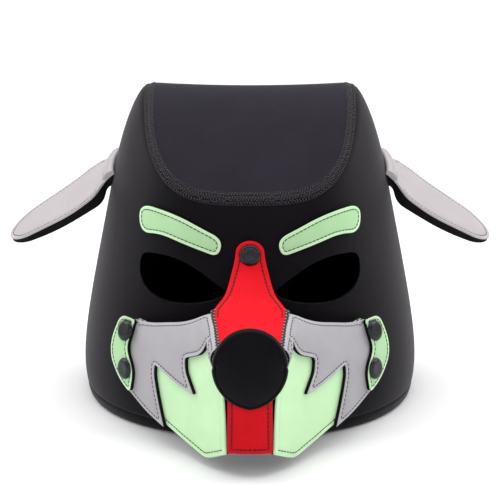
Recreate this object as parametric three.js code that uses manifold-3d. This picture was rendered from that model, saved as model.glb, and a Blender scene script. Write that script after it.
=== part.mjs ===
// A dog-head hood sewn from foam-rubber sheet, with drooping ears and a muzzle held on by snaps.
// Millimetres, +Z up. The face looks along -Y and the hem stands on z = 0. Until the last step
// the hood's own upright axis is at x = y = 0.
import * as THREE from 'three';
import { mergeVertices } from 'three/addons/utils/BufferGeometryUtils.js';
import Module from 'manifold-3d';

const wasm = await Module();
wasm.setup();

// Sheet and clearances
const sheet = 3.5;
const trim = 2.6;
const gap = 0.3;
const sliver = 0.02;

// Hood wall: rounded oval at the hem, squarer and smaller at the crown seam
const rimHalfWidth = 122;
const rimHalfDepth = 122;
const rimPower = 2.13;
const seamHalfWidth = 73.5;
const seamHalfDepth = 106;
const seamPower = 3.65;
const leanPower = 1.44;
const shoulderShare = 0.276;
const shoulderStart = 0.743;
const bellyOut = 6.3;
const bellyAt = 0.185;
const hemHeight = 9;
const hemThickness = 6.4;

// Crown: highest across the middle, falling to the front and to the back
const crownTop = 232.2;
const crownFall = 63.6;
const backFall = 80;
const crestRound = 30;
const crownPower = 1.05;
const crownDip = 2.3;

// Eye hole, right half of the front view: a teardrop with its point towards the nose
const eyeInner = { x: 16.8, z: 104.5 };
const eyeTop = { x: 64, z: 129 };
const eyeOuterX = 77;
const eyeLow = 94;

// Brow: a bowed band with rounded ends; corners of the front view with their rounding
const browCorners = [
  { x: 77.5, z: 159.5, r: 8 },
  { x: 52, z: 156.5, r: 14 },
  { x: 18.5, z: 140, r: 8 },
  { x: 21.5, z: 128, r: 6 },
  { x: 45, z: 136, r: 14 },
  { x: 62, z: 141.5, r: 8 },
  { x: 77, z: 139, r: 7 },
];

// Opening for nose and mouth, behind the muzzle
const mouthHalfWidth = 34;
const mouthLow = 24;
const mouthHigh = 78;
const mouthCorner = 18;

// Muzzle: a hollow snout that springs from both cheeks; lower edge and upper edge in plan
const cheekAngle = 0.885;
const cheekTop = { x: 82, y: -85, z: 82 };
const cheekTurn = { x: 45, y: -113, z: 79 };
const lipTurn = { x: 32.5, y: -168 };
const lipEnd = { x: 13.5, y: -186 };
const lipBack = 24;
const lipFront = 0;
const lipRise = 11;
const rollPower = 2.3;
const restGap = 1;

// Bridge of the muzzle: outer profile from the forehead to the nose, with half widths
const bridgeProfile = [
  { y: -114.6, z: 139.5, half: 9.4 },
  { y: -116.6, z: 128, half: 10.2 },
  { y: -122, z: 117.5, half: 13 },
  { y: -133.5, z: 109.5, half: 16.8 },
  { y: -149, z: 103.5, half: 24.5 },
  { y: -168, z: 97.5, half: 22.6 },
  { y: -193, z: 91.5, half: 20.3 },
];
const bridgeRound = 8;
const bridgeArch = 3.5;

// Strip over the chin
const chinHalfTop = 15.3;
const chinHalfLow = 16.1;
const chinLow = 17;
const chinHigh = 60;
const chinY = -188.9;
const chinBow = 1.6;

// Outlines on the snout, in its own side view: distance along from the cheek, and height
const sideBack = [{ a: 34, z: 86, r: 3 }, { a: 38, z: 33, r: 3 }];
const lipCorners = [
  { a: 62.4, z: 21.8, r: 10 },
  { a: 123, z: 5.8, r: 5 },
  { a: 143, z: 14.5, r: 0 },
];
const browLine = [
  { a: 50, z: 81.3, r: 10 },
  { a: 88.8, z: 90.2, r: 14 },
  { a: 112.5, z: 102, r: 1 },
];
const frontTop = { a: 160, z: 112, r: 0 };
const flameCorners = [
  { a: 160, z: 75, r: 0 },
  { a: 139, z: 74.5, r: 0 },
  { a: 130, z: 80, r: 2 },
  { a: 122.5, z: 85, r: 1 },
  { a: 117.5, z: 76.5, r: 6 },
  { a: 100, z: 70, r: 2.5 },
  { a: 102.5, z: 61.5, r: 3 },
  { a: 113.5, z: 48.2, r: 1.5 },
  { a: 97, z: 50, r: 8 },
  { a: 68, z: 57.5, r: 1.5 },
  { a: 68.3, z: 50.5, r: 3 },
  { a: 81.5, z: 16.8, r: 0 },
];
const tabCorners = [
  { a: 39.5, z: 82, r: 3 },
  { a: 25, z: 83.3, r: 10 },
  { a: 19, z: 56, r: 14 },
  { a: 33, z: 39.5, r: 8 },
  { a: 46.5, z: 32.5, r: 3.5 },
  { a: 49.5, z: 48, r: 7 },
  { a: 39, z: 62, r: 5 },
  { a: 40.5, z: 75, r: 4 },
];

// Nose
const noseHalfWidth = 24.4;
const noseUp = 26.2;
const noseDown = 27.3;
const noseZ = 76.5;
const noseY = -194.4;
const noseRim = 4;
const noseDome = 8;

// Snap caps
const capRadius = 7.4;
const capHeight = 2.4;
const cheekCaps = [{ along: 0.12, up: 0.58 }, { along: 0.16, up: 0.26 }];

// Ears: width across, length along the droop
const earZ = 172;
const earLength = 96.9;
const earHalfWidth = 31;
const earTilt = 0.25;
const earRootSlope = -0.75;
const earTipSlope = -0.53;
const earCore = 5.5;
const earCoreThinning = 0.62;
const earRootDepth = 1.6;
const earFace = 1.4;
const earFoldShare = 0.062;
const earFoldHeight = 2.6;

const colours = {
  hood: { color: 0x1d1a22, roughness: 0.78, metalness: 0 },
  crown: { color: 0x2a2830, roughness: 0.8, metalness: 0 },
  green: { color: 0x9fe8a6, roughness: 0.72, metalness: 0 },
  red: { color: 0xd81f2a, roughness: 0.72, metalness: 0 },
  grey: { color: 0x9c979d, roughness: 0.75, metalness: 0 },
  core: { color: 0x131217, roughness: 0.85, metalness: 0 },
  nose: { color: 0x121017, roughness: 0.62, metalness: 0 },
  cap: { color: 0x24262b, roughness: 0.32, metalness: 0.4 },
};

// Radius of a rounded-square oval in the direction of an angle measured from the front.
function ovalRadius(halfWidth, halfDepth, power, angle) {
  const side = Math.abs(Math.sin(angle)) / halfWidth;
  const front = Math.abs(Math.cos(angle)) / halfDepth;
  return (side ** power + front ** power) ** (-1 / power);
}

function crownHeight(x, y) {
  const reach = Math.hypot(seamHalfDepth, crestRound) - crestRound;
  const run = (Math.hypot(y, crestRound) - crestRound) / reach;
  const fall = (y < 0 ? crownFall : backFall) * run ** crownPower;
  return crownTop - fall - crownDip * (1 - (x / seamHalfWidth) ** 2);
}

function seamRadius(angle) {
  return ovalRadius(seamHalfWidth, seamHalfDepth, seamPower, angle);
}

function seamHeight(angle) {
  const r = seamRadius(angle);
  return crownHeight(r * Math.sin(angle), -r * Math.cos(angle));
}

function crownPoint(angle, r, drop) {
  const x = r * Math.sin(angle);
  const y = -r * Math.cos(angle);
  return new THREE.Vector3(x, y, crownHeight(x, y) - drop);
}

// Distance of the hood wall from the upright axis.
function wallRadius(angle, z) {
  const share = Math.max(z / seamHeight(angle), 0);
  const sides = shoulderShare * Math.sin(angle) ** 2;
  const late = Math.min(Math.max((share - shoulderStart) / (1 - shoulderStart), 0), 1);
  const lean = (1 - sides) * share ** leanPower + sides * (1 - Math.sqrt(1 - late * late));
  const rim = ovalRadius(rimHalfWidth, rimHalfDepth, rimPower, angle);
  const belly = bellyOut * (share / bellyAt) * Math.exp(1 - share / bellyAt);
  return rim + (seamRadius(angle) - rim) * lean + belly;
}

function wallPoint(angle, z) {
  const r = wallRadius(angle, z);
  return new THREE.Vector3(r * Math.sin(angle), -r * Math.cos(angle), z);
}

// Outward normal of a surface given by two parameters.
function normalOf(surface, u, v, du, dv) {
  const alongU = surface(u + du, v).sub(surface(u - du, v));
  const alongV = surface(u, v + dv).sub(surface(u, v - dv));
  return alongU.cross(alongV).normalize();
}

function wallNormal(angle, z) {
  const top = seamHeight(angle);
  const inside = Math.min(Math.max(z, 4), top - 5);
  return normalOf(wallPoint, angle, inside, 0.01, 4);
}

function wallOffset(angle, z, distance) {
  return wallPoint(angle, z).addScaledVector(wallNormal(angle, z), distance);
}

// Closed solid between two faces, each a grid of columns and rows of points.
function solidBetween(columns, rows, closed, outerAt, innerAt) {
  const positions = [];
  for (const faceAt of [outerAt, innerAt]) {
    for (let i = 0; i < columns; i += 1) {
      for (let j = 0; j < rows; j += 1) positions.push(...faceAt(i, j).toArray());
    }
  }
  const inner = columns * rows;
  const index = [];
  const quad = (a, b, c, d) => index.push(a, b, c, a, c, d);
  const spans = closed ? columns : columns - 1;
  for (let i = 0; i < spans; i += 1) {
    const here = i * rows;
    const next = ((i + 1) % columns) * rows;
    for (let j = 0; j < rows - 1; j += 1) {
      quad(here + j, next + j, next + j + 1, here + j + 1);
      quad(inner + here + j, inner + here + j + 1, inner + next + j + 1, inner + next + j);
    }
    const top = rows - 1;
    quad(here, inner + here, inner + next, next);
    quad(here + top, next + top, inner + next + top, inner + here + top);
  }
  if (!closed) {
    const last = (columns - 1) * rows;
    for (let j = 0; j < rows - 1; j += 1) {
      quad(j, j + 1, inner + j + 1, inner + j);
      quad(last + j, inner + last + j, inner + last + j + 1, last + j + 1);
    }
  }
  const geometry = new THREE.BufferGeometry();
  geometry.setAttribute('position', new THREE.Float32BufferAttribute(positions, 3));
  geometry.setIndex(index);
  return facingOut(geometry);
}

function signedVolume(geometry) {
  const point = geometry.attributes.position;
  const index = geometry.index.array;
  const a = new THREE.Vector3();
  const b = new THREE.Vector3();
  const c = new THREE.Vector3();
  let total = 0;
  for (let k = 0; k < index.length; k += 3) {
    a.fromBufferAttribute(point, index[k]);
    b.fromBufferAttribute(point, index[k + 1]);
    c.fromBufferAttribute(point, index[k + 2]);
    total += a.dot(b.cross(c)) / 6;
  }
  return total;
}

function flipped(geometry) {
  const index = geometry.index.array;
  for (let k = 0; k < index.length; k += 3) {
    const first = index[k];
    index[k] = index[k + 1];
    index[k + 1] = first;
  }
  return geometry;
}

function facingOut(geometry) {
  return signedVolume(geometry) < 0 ? flipped(geometry) : geometry;
}

function welded(geometry) {
  const plain = geometry.clone();
  plain.deleteAttribute('normal');
  plain.deleteAttribute('uv');
  return mergeVertices(plain, 1e-4);
}

function mirrored(geometry) {
  return flipped(welded(geometry).scale(-1, 1, 1));
}

function toManifold(geometry) {
  const solid = welded(geometry);
  return new wasm.Manifold(new wasm.Mesh({
    numProp: 3,
    vertProperties: Float32Array.from(solid.attributes.position.array),
    triVerts: Uint32Array.from(solid.index.array),
  }));
}

// Geometry of a boolean's result, without the slivers that it leaves in and beside the main piece.
function toGeometry(manifold) {
  const pieces = manifold.decompose();
  const main = pieces.reduce((best, piece) => (piece.volume() > best.volume() ? piece : best));
  const mesh = main.simplify(sliver).getMesh();
  const geometry = new THREE.BufferGeometry();
  geometry.setAttribute('position', new THREE.BufferAttribute(mesh.vertProperties, 3));
  geometry.setIndex(new THREE.BufferAttribute(mesh.triVerts, 1));
  return geometry;
}

function cut(body, ...cutters) {
  return toGeometry(cutters.reduce((left, tool) => left.subtract(toManifold(tool)), toManifold(body)));
}

function common(body, cutter) {
  return toGeometry(toManifold(body).intersect(toManifold(cutter)));
}

// Prism with its outline in the front view, running from one depth to another.
function frontPrism(shape, fromY, toY) {
  const run = { depth: toY - fromY, bevelEnabled: false, curveSegments: 7 };
  const prism = new THREE.ExtrudeGeometry(shape, run);
  prism.rotateX(Math.PI / 2);
  return prism.translate(0, toY, 0);
}

// Outline through named corners, each rounded off by its own distance.
function softOutline(corners) {
  const shape = new THREE.Shape();
  corners.forEach((corner, k) => {
    const before = corners[(k + corners.length - 1) % corners.length];
    const after = corners[(k + 1) % corners.length];
    const enter = towards(corner, before);
    const leave = towards(corner, after);
    if (k === 0) shape.moveTo(enter.x, enter.y);
    else shape.lineTo(enter.x, enter.y);
    if (corner.r > 0) shape.quadraticCurveTo(corner.x, corner.y, leave.x, leave.y);
  });
  shape.closePath();
  return shape;
}

function towards(corner, other) {
  const way = new THREE.Vector2(other.x - corner.x, other.y - corner.y);
  const reach = Math.min(corner.r / way.length(), 0.49);
  return new THREE.Vector2(corner.x, corner.y).addScaledVector(way, reach);
}

// Side view of the snout: the picture plane runs forwards from the cheek to the nose.
const sideAlong = new THREE.Vector3(-0.59, -0.807, 0).normalize();
const sideOut = new THREE.Vector3(-sideAlong.y, sideAlong.x, 0);

function sidePrism(shape) {
  const depth = 170;
  const prism = new THREE.ExtrudeGeometry(shape, { depth, bevelEnabled: false, curveSegments: 3 });
  const up = new THREE.Vector3(0, 0, 1);
  const basis = new THREE.Matrix4().makeBasis(sideAlong, up, sideOut.clone().negate());
  basis.setPosition(sideOut.clone().multiplyScalar(depth));
  return prism.applyMatrix4(basis);
}

function sideShape(corners) {
  return softOutline(corners.map((corner) => ({ x: corner.a, y: corner.z, r: corner.r })));
}

// Hood wall

const wallColumns = 48;
const wallRows = 11;

function wallRowHeight(angle, row) {
  if (row === 0) return 0;
  if (row === 1) return hemHeight;
  const start = hemHeight + 1.5;
  const share = (row - 2) / (wallRows - 3);
  return start + (seamHeight(angle) - start) * (1 - (1 - share) ** 1.35);
}

function columnAngle(column) {
  return (2 * Math.PI * (column + 0.5)) / wallColumns;
}

function buildWall() {
  const last = wallRows - 1;
  const outerAt = (i, j) => wallPoint(columnAngle(i), wallRowHeight(columnAngle(i), j));
  const innerAt = (i, j) => {
    const angle = columnAngle(i);
    if (j === last) return crownPoint(angle, seamRadius(angle) - sheet, 0);
    const thickness = j < 2 ? hemThickness : sheet;
    const point = wallOffset(angle, wallRowHeight(angle, j), -thickness);
    if (j === 0) point.z = 0;
    return point;
  };
  const shell = solidBetween(wallColumns, wallRows, true, outerAt, innerAt);
  const eye = frontPrism(eyeShape(), -150, -60);
  const mouth = frontPrism(mouthShape(), -150, -60);
  return cut(shell, eye, mirrored(eye), mouth);
}

function eyeShape() {
  const shape = new THREE.Shape();
  shape.moveTo(eyeInner.x, eyeInner.z);
  shape.bezierCurveTo(eyeInner.x + 14, eyeInner.z + 9, eyeTop.x - 22, eyeTop.z, eyeTop.x, eyeTop.z - 1);
  shape.quadraticCurveTo(eyeOuterX, eyeTop.z - 2, eyeOuterX, eyeTop.z - 14);
  shape.bezierCurveTo(eyeOuterX, eyeLow + 5, eyeOuterX - 14, eyeLow, eyeTop.x - 14, eyeLow);
  shape.bezierCurveTo(eyeInner.x + 12, eyeLow, eyeInner.x - 1, eyeLow + 6, eyeInner.x, eyeInner.z);
  return shape;
}

function mouthShape() {
  const shape = new THREE.Shape();
  shape.moveTo(mouthCorner - mouthHalfWidth, mouthLow);
  shape.lineTo(mouthHalfWidth - mouthCorner, mouthLow);
  shape.quadraticCurveTo(mouthHalfWidth, mouthLow, mouthHalfWidth, mouthLow + mouthCorner);
  shape.lineTo(mouthHalfWidth, mouthHigh - mouthCorner);
  shape.quadraticCurveTo(mouthHalfWidth, mouthHigh, mouthHalfWidth - mouthCorner, mouthHigh);
  shape.lineTo(mouthCorner - mouthHalfWidth, mouthHigh);
  shape.quadraticCurveTo(-mouthHalfWidth, mouthHigh, -mouthHalfWidth, mouthHigh - mouthCorner);
  shape.lineTo(-mouthHalfWidth, mouthLow + mouthCorner);
  shape.quadraticCurveTo(-mouthHalfWidth, mouthLow, mouthCorner - mouthHalfWidth, mouthLow);
  return shape;
}

// Crown panel, set inside the top edge of the wall

const crownRings = 3;

function buildCrown() {
  const inset = sheet + gap;
  const ring = (i, j, drop) => {
    const angle = columnAngle(i);
    return crownPoint(angle, ((seamRadius(angle) - inset) * j) / crownRings, drop);
  };
  const positions = [];
  const index = [];
  for (const drop of [0, sheet]) {
    positions.push(0, 0, crownHeight(0, 0) - drop);
    for (let i = 0; i < wallColumns; i += 1) {
      for (let j = 1; j <= crownRings; j += 1) positions.push(...ring(i, j, drop).toArray());
    }
  }
  const under = 1 + wallColumns * crownRings;
  const at = (i, j, base) => base + (j === 0 ? 0 : 1 + (i % wallColumns) * crownRings + j - 1);
  for (let i = 0; i < wallColumns; i += 1) {
    index.push(at(i, 0, 0), at(i, 1, 0), at(i + 1, 1, 0));
    index.push(at(i, 0, under), at(i + 1, 1, under), at(i, 1, under));
    for (let j = 1; j < crownRings; j += 1) {
      index.push(at(i, j, 0), at(i, j + 1, 0), at(i + 1, j + 1, 0));
      index.push(at(i, j, 0), at(i + 1, j + 1, 0), at(i + 1, j, 0));
      index.push(at(i, j, under), at(i + 1, j + 1, under), at(i, j + 1, under));
      index.push(at(i, j, under), at(i + 1, j, under), at(i + 1, j + 1, under));
    }
    const edge = crownRings;
    index.push(at(i, edge, 0), at(i, edge, under), at(i + 1, edge, under));
    index.push(at(i, edge, 0), at(i + 1, edge, under), at(i + 1, edge, 0));
  }
  const geometry = new THREE.BufferGeometry();
  geometry.setAttribute('position', new THREE.Float32BufferAttribute(positions, 3));
  geometry.setIndex(index);
  return facingOut(geometry);
}

// Brows, cut from a sheet that lies on the wall

function browShape() {
  return softOutline(browCorners.map((corner) => ({ x: corner.x, y: corner.z, r: corner.r })));
}

// Sheet lying on the wall over some of its columns and rows.
function wallPatch(fromColumn, toColumn, fromRow, toRow, low, high) {
  const place = (i, j, distance) => {
    const angle = columnAngle(fromColumn + i);
    return wallOffset(angle, wallRowHeight(angle, fromRow + j), distance);
  };
  const columns = toColumn - fromColumn + 1;
  const rows = toRow - fromRow + 1;
  return solidBetween(columns, rows, false, (i, j) => place(i, j, high), (i, j) => place(i, j, low));
}

function buildBrow() {
  const patch = wallPatch(0, 6, 5, wallRows - 2, 2 * gap, 2 * gap + trim);
  return common(patch, frontPrism(browShape(), -150, -60));
}

// Bridge

const bridgeLine = new THREE.CatmullRomCurve3(
  bridgeProfile.map((stop) => new THREE.Vector3(stop.half, stop.y, stop.z)),
);

function bridgePoint(share, across) {
  const stop = bridgeLine.getPoint(THREE.MathUtils.clamp(share, 0, 1));
  const run = (bridgeProfile[0].z - stop.z) / bridgeRound;
  const round = run < 1 ? Math.sqrt(Math.max(1 - (1 - run) ** 2, 0.02)) : 1;
  const arch = bridgeArch * THREE.MathUtils.smoothstep(-stop.y, 118, 149);
  return new THREE.Vector3(across * stop.x * round, stop.y, stop.z - arch * across * across);
}

function bridgeOffset(share, across, distance) {
  const step = 0.01;
  const s = THREE.MathUtils.clamp(share, 0.06, 1 - step);
  const normal = normalOf(bridgePoint, s, across, step, -step);
  return bridgePoint(share, across).addScaledVector(normal, distance);
}

// Bridge between two distances from its outer face, its sides moved out by a margin.
function bridgeSolid(low, high, margin) {
  const columns = 7;
  const rows = 13;
  const place = (i, j, distance) => {
    const across = (2 * i) / (columns - 1) - 1;
    const point = bridgeOffset((j / (rows - 1)) ** 1.2, across, distance);
    point.x += margin * across;
    return point;
  };
  return solidBetween(columns, rows, false, (i, j) => place(i, j, high), (i, j) => place(i, j, low));
}

// Muzzle

function bezier(a, b, c, t) {
  return (1 - t) ** 2 * a + 2 * t * (1 - t) * b + t * t * c;
}

const bridgeWide = bridgeProfile[4];
const wideShare = 0.6;

// Upper edge of the snout's side: free from the cheek to the bridge, then along the bridge.
function upperEdge(share) {
  const under = sheet + gap + trim + bridgeArch;
  if (share <= wideShare) {
    const t = Math.max(share / wideShare, 0);
    return new THREE.Vector3(
      bezier(cheekTop.x, cheekTurn.x, bridgeWide.half + gap, t),
      bezier(cheekTop.y, cheekTurn.y, bridgeWide.y, t),
      bezier(cheekTop.z, cheekTurn.z, bridgeWide.z - under, t),
    );
  }
  const first = 4 / (bridgeProfile.length - 1);
  const along = THREE.MathUtils.mapLinear(Math.min(share, 1), wideShare, 1, first, 1);
  const stop = bridgeLine.getPoint(along);
  return new THREE.Vector3(stop.x + gap, stop.y, stop.z - under);
}

function lowerEdge(share) {
  const cheek = wallPoint(cheekAngle, lipBack);
  const dip = (lipFront - lipBack) * Math.min(share / 0.85, 1);
  const rise = lipRise * Math.max((share - 0.8) / 0.2, 0) ** 2;
  return new THREE.Vector3(
    bezier(cheek.x, lipTurn.x, lipEnd.x, share),
    bezier(cheek.y, lipTurn.y, lipEnd.y, share),
    lipBack + dip + rise,
  );
}

// Inner face of the snout's side. It rests on the wall where it would otherwise cut in.
function snoutPoint(share, height) {
  const up = upperEdge(share);
  const low = lowerEdge(share);
  const turn = (height * Math.PI) / 2;
  const out = Math.max(Math.cos(turn), 0) ** (2 / rollPower);
  const rise = Math.sin(turn) ** (2 / rollPower);
  const point = new THREE.Vector3(
    up.x + (low.x - up.x) * out,
    up.y + (low.y - up.y) * out,
    low.z + (up.z - low.z) * rise,
  );
  const angle = Math.atan2(point.x, -point.y);
  const clear = wallRadius(angle, point.z) + restGap;
  const r = Math.max(Math.hypot(point.x, point.y), clear);
  return new THREE.Vector3(r * Math.sin(angle), -r * Math.cos(angle), point.z);
}

function snoutOffset(share, height, distance) {
  const step = 0.02;
  const s = Math.min(Math.max(share, step), 1 - step);
  const h = Math.min(Math.max(height, step), 1 - step);
  return snoutPoint(share, height).addScaledVector(normalOf(snoutPoint, s, h, -step, step), distance);
}

// Sheet over the first columns of the snout's side, at a distance from its inner face.
const snoutColumns = 15;
const snoutRows = 9;

function snoutPatch(columns, inner, outer) {
  const place = (i, j, distance) => snoutOffset(i / (snoutColumns - 1), j / (snoutRows - 1), distance);
  const outerAt = (i, j) => place(i, j, outer);
  const innerAt = (i, j) => place(i, j, inner);
  return solidBetween(columns, snoutRows, false, outerAt, innerAt);
}

const bridgeRoom = bridgeSolid(-sheet - gap, 8, gap);

function buildSide() {
  const slab = snoutPatch(snoutColumns, 0, sheet);
  const upper = browLine.map((corner) => ({ ...corner, z: corner.z - trim }));
  const outline = sideShape([...sideBack, ...lipCorners, frontTop, ...upper.reverse()]);
  return cut(common(slab, sidePrism(outline)), bridgeRoom);
}

function buildFlame() {
  const low = sheet + gap;
  const slab = snoutPatch(snoutColumns, low, low + trim);
  const back = [lipCorners[0], sideBack[1], sideBack[0]];
  const outline = sideShape([...browLine, frontTop, ...flameCorners, ...back]);
  return cut(common(slab, sidePrism(outline)), bridgeRoom);
}

function buildTab() {
  const low = sheet + trim + 3 * gap;
  const slab = snoutPatch(6, low, low + trim);
  return common(slab, sidePrism(sideShape(tabCorners)));
}

function buildChin() {
  const columns = 5;
  const rows = 3;
  const place = (i, j, distance) => {
    const across = (2 * i) / (columns - 1) - 1;
    const up = j / (rows - 1);
    const half = THREE.MathUtils.lerp(chinHalfLow, chinHalfTop, up);
    const y = chinY - chinBow * (1 - across * across) - distance;
    return new THREE.Vector3(across * half, y, THREE.MathUtils.lerp(chinLow, chinHigh, up));
  };
  return solidBetween(columns, rows, false, (i, j) => place(i, j, sheet), (i, j) => place(i, j, 0));
}

// Nose: a domed cushion with a blunt chin

function buildNose() {
  const profile = [new THREE.Vector2(0, 0), new THREE.Vector2(0.97, 0), new THREE.Vector2(1, 1)];
  profile.push(new THREE.Vector2(1, noseRim));
  const steps = 5;
  for (let k = 1; k <= steps; k += 1) {
    const turn = (k / steps) * (Math.PI / 2);
    profile.push(new THREE.Vector2(Math.cos(turn), noseRim + noseDome * Math.sin(turn)));
  }
  profile[profile.length - 1].x = 0;
  const nose = new THREE.LatheGeometry(profile, 26);
  const point = nose.attributes.position;
  for (let k = 0; k < point.count; k += 1) {
    const across = point.getX(k);
    const up = point.getZ(k);
    const out = point.getY(k);
    const below = Math.max(-up, 0);
    const half = noseHalfWidth * (1 - 0.09 * below * below);
    point.setXYZ(k, across * half, -out, up > 0 ? up * noseUp : up * noseDown);
  }
  nose.translate(0, noseY, noseZ);
  return facingOut(welded(nose));
}

// Snap caps

function buildCap(position, normal) {
  const profile = [
    new THREE.Vector2(0, 0),
    new THREE.Vector2(capRadius, 0),
    new THREE.Vector2(capRadius, capHeight * 0.4),
    new THREE.Vector2(capRadius * 0.86, capHeight * 0.8),
    new THREE.Vector2(capRadius * 0.5, capHeight),
    new THREE.Vector2(0, capHeight),
  ];
  const cap = new THREE.LatheGeometry(profile, 14);
  const turn = new THREE.Quaternion().setFromUnitVectors(new THREE.Vector3(0, 1, 0), normal);
  cap.applyQuaternion(turn);
  cap.translate(position.x, position.y, position.z);
  return facingOut(welded(cap));
}

function buildCheekCap({ along, up }) {
  const top = sheet + 2 * trim + 3 * gap;
  const seat = snoutOffset(along, up, top);
  const normal = snoutOffset(along, up, top + 1).sub(seat).normalize();
  return buildCap(seat.addScaledVector(normal, 1), normal);
}

function buildTopCap() {
  const share = 0.14;
  const seat = bridgeOffset(share, 0, 0);
  const normal = bridgeOffset(share, 0, 1).sub(seat).normalize();
  return buildCap(seat.addScaledVector(normal, gap), normal);
}

// Ears: leaf-shaped grey faces on thick foam, which droop from a fold along the wall

function earLine(share) {
  const steps = 24;
  let x = 0;
  let z = 0;
  for (let k = 0; k < steps; k += 1) {
    const bend = THREE.MathUtils.smoothstep(((k + 0.5) / steps) * share, 0.1, 0.6);
    const slope = THREE.MathUtils.lerp(earRootSlope, earTipSlope, bend);
    x += (Math.cos(slope) * earLength * share) / steps;
    z += (Math.sin(slope) * earLength * share) / steps;
  }
  return { x, z };
}

function earHalf(share) {
  const base = 0.65 + 0.35 * THREE.MathUtils.smoothstep(share, 0.05, 0.22);
  const taper = 1 - 0.42 * Math.max((share - 0.3) / 0.7, 0) ** 1.3;
  const tip = Math.max((share - 0.8) / 0.2, 0);
  return earHalfWidth * base * taper * Math.sqrt(Math.max(1 - tip * tip, 0)) + 0.8;
}

// The ear's reference surface lies between its thick foam and its grey face.
function earPoint(share, across) {
  const s = THREE.MathUtils.clamp(share, 0, 1);
  const line = earLine(s);
  const front = across * earHalf(s);
  const y = -front * Math.cos(earTilt);
  const drop = front * Math.sin(earTilt);
  const middle = wallRadius(Math.PI / 2, earZ);
  const seat = wallRadius(Math.atan2(middle, -y), earZ - drop);
  const hug = Math.max(1 - s / 0.3, 0);
  const wallX = THREE.MathUtils.lerp(middle, Math.sqrt(Math.max(seat * seat - y * y, 0)), hug);
  return new THREE.Vector3(wallX + restGap + line.x, y, earZ + line.z - drop);
}

function earNormal(share, across) {
  const step = 0.02;
  const s = THREE.MathUtils.clamp(share, step, 1 - 2 * step);
  return normalOf(earPoint, s, across, step, -step);
}

// Underside of the foam, which thins to the tip and grows towards the wall.
function earUnder(share, across) {
  const thin = 1 - earCoreThinning * Math.max((share - 0.6) / 0.4, 0) ** 1.6;
  const depth = earCore * thin + earRootDepth * (1 - THREE.MathUtils.smoothstep(share, 0, 0.22));
  const free = THREE.MathUtils.smoothstep(share, 0, 0.2);
  const way = new THREE.Vector3(-0.25, 0, 0.97).lerp(earNormal(share, across), free);
  return earPoint(share, across).addScaledVector(way, -depth);
}

// Top of the face, with the rounded fold that is stitched down along the wall.
function earTop(share, across) {
  const run = (2 * share) / earFoldShare - 1;
  const fold = earFoldHeight * Math.sqrt(Math.max(1 - run * run, 0));
  return earPoint(share, across).addScaledVector(earNormal(share, across), gap + earFace + fold);
}

function buildEar(topAt, underAt) {
  const foldColumns = 5;
  const leafColumns = 12;
  const rows = 5;
  const place = (i, j, at) => {
    const rest = (i - foldColumns + 1) / leafColumns;
    const leaf = earFoldShare + (1 - earFoldShare) * Math.sin((rest * Math.PI) / 2) ** 1.1;
    const fold = (earFoldShare * (1 - Math.cos((i * Math.PI) / (foldColumns - 1)))) / 2;
    return at(rest > 0 ? leaf : fold, (2 * j) / (rows - 1) - 1);
  };
  const columns = foldColumns + leafColumns;
  return solidBetween(columns, rows, false, (i, j) => place(i, j, topAt), (i, j) => place(i, j, underAt));
}

function buildEarFace() {
  const lift = (share, across) => earPoint(share, across).addScaledVector(earNormal(share, across), gap);
  return buildEar(earTop, lift);
}

const group = new THREE.Group();
group.name = 'hood_mask';

function add(name, geometry, look) {
  const mesh = new THREE.Mesh(geometry, new THREE.MeshStandardMaterial(look));
  mesh.name = name;
  group.add(mesh);
}

// Adds the wearer's left piece and its mirror image; the face looks along -Y, so left is +X.
function addPair(name, geometry, look) {
  add(`${name}_left`, geometry, look);
  add(`${name}_right`, mirrored(geometry), look);
}

add('face_panel', buildWall(), colours.hood);
add('crown_panel', buildCrown(), colours.crown);
addPair('brow', buildBrow(), colours.green);
addPair('muzzle_side', buildSide(), colours.green);
addPair('muzzle_flame', buildFlame(), colours.grey);
addPair('cheek_tab', buildTab(), colours.green);
addPair('upper_snap', buildCheekCap(cheekCaps[0]), colours.cap);
addPair('lower_snap', buildCheekCap(cheekCaps[1]), colours.cap);
add('muzzle_bridge', bridgeSolid(-sheet, 0, 0), colours.red);
add('bridge_snap', buildTopCap(), colours.cap);
add('chin_strip', buildChin(), colours.red);
add('nose', buildNose(), colours.nose);
addPair('ear_back', buildEar(earPoint, earUnder), colours.core);
addPair('ear_face', buildEarFace(), colours.grey);

// The origin goes under the middle of the whole outline.
const extent = new THREE.Box3().setFromObject(group);
group.position.y = -(extent.min.y + extent.max.y) / 2;

export default group;
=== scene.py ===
from math import cos, pi, radians, sin

import bpy
import numpy as np
from mathutils import Matrix, Vector
from mathutils.geometry import delaunay_2d_cdt
from mathutils.kdtree import KDTree


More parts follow.
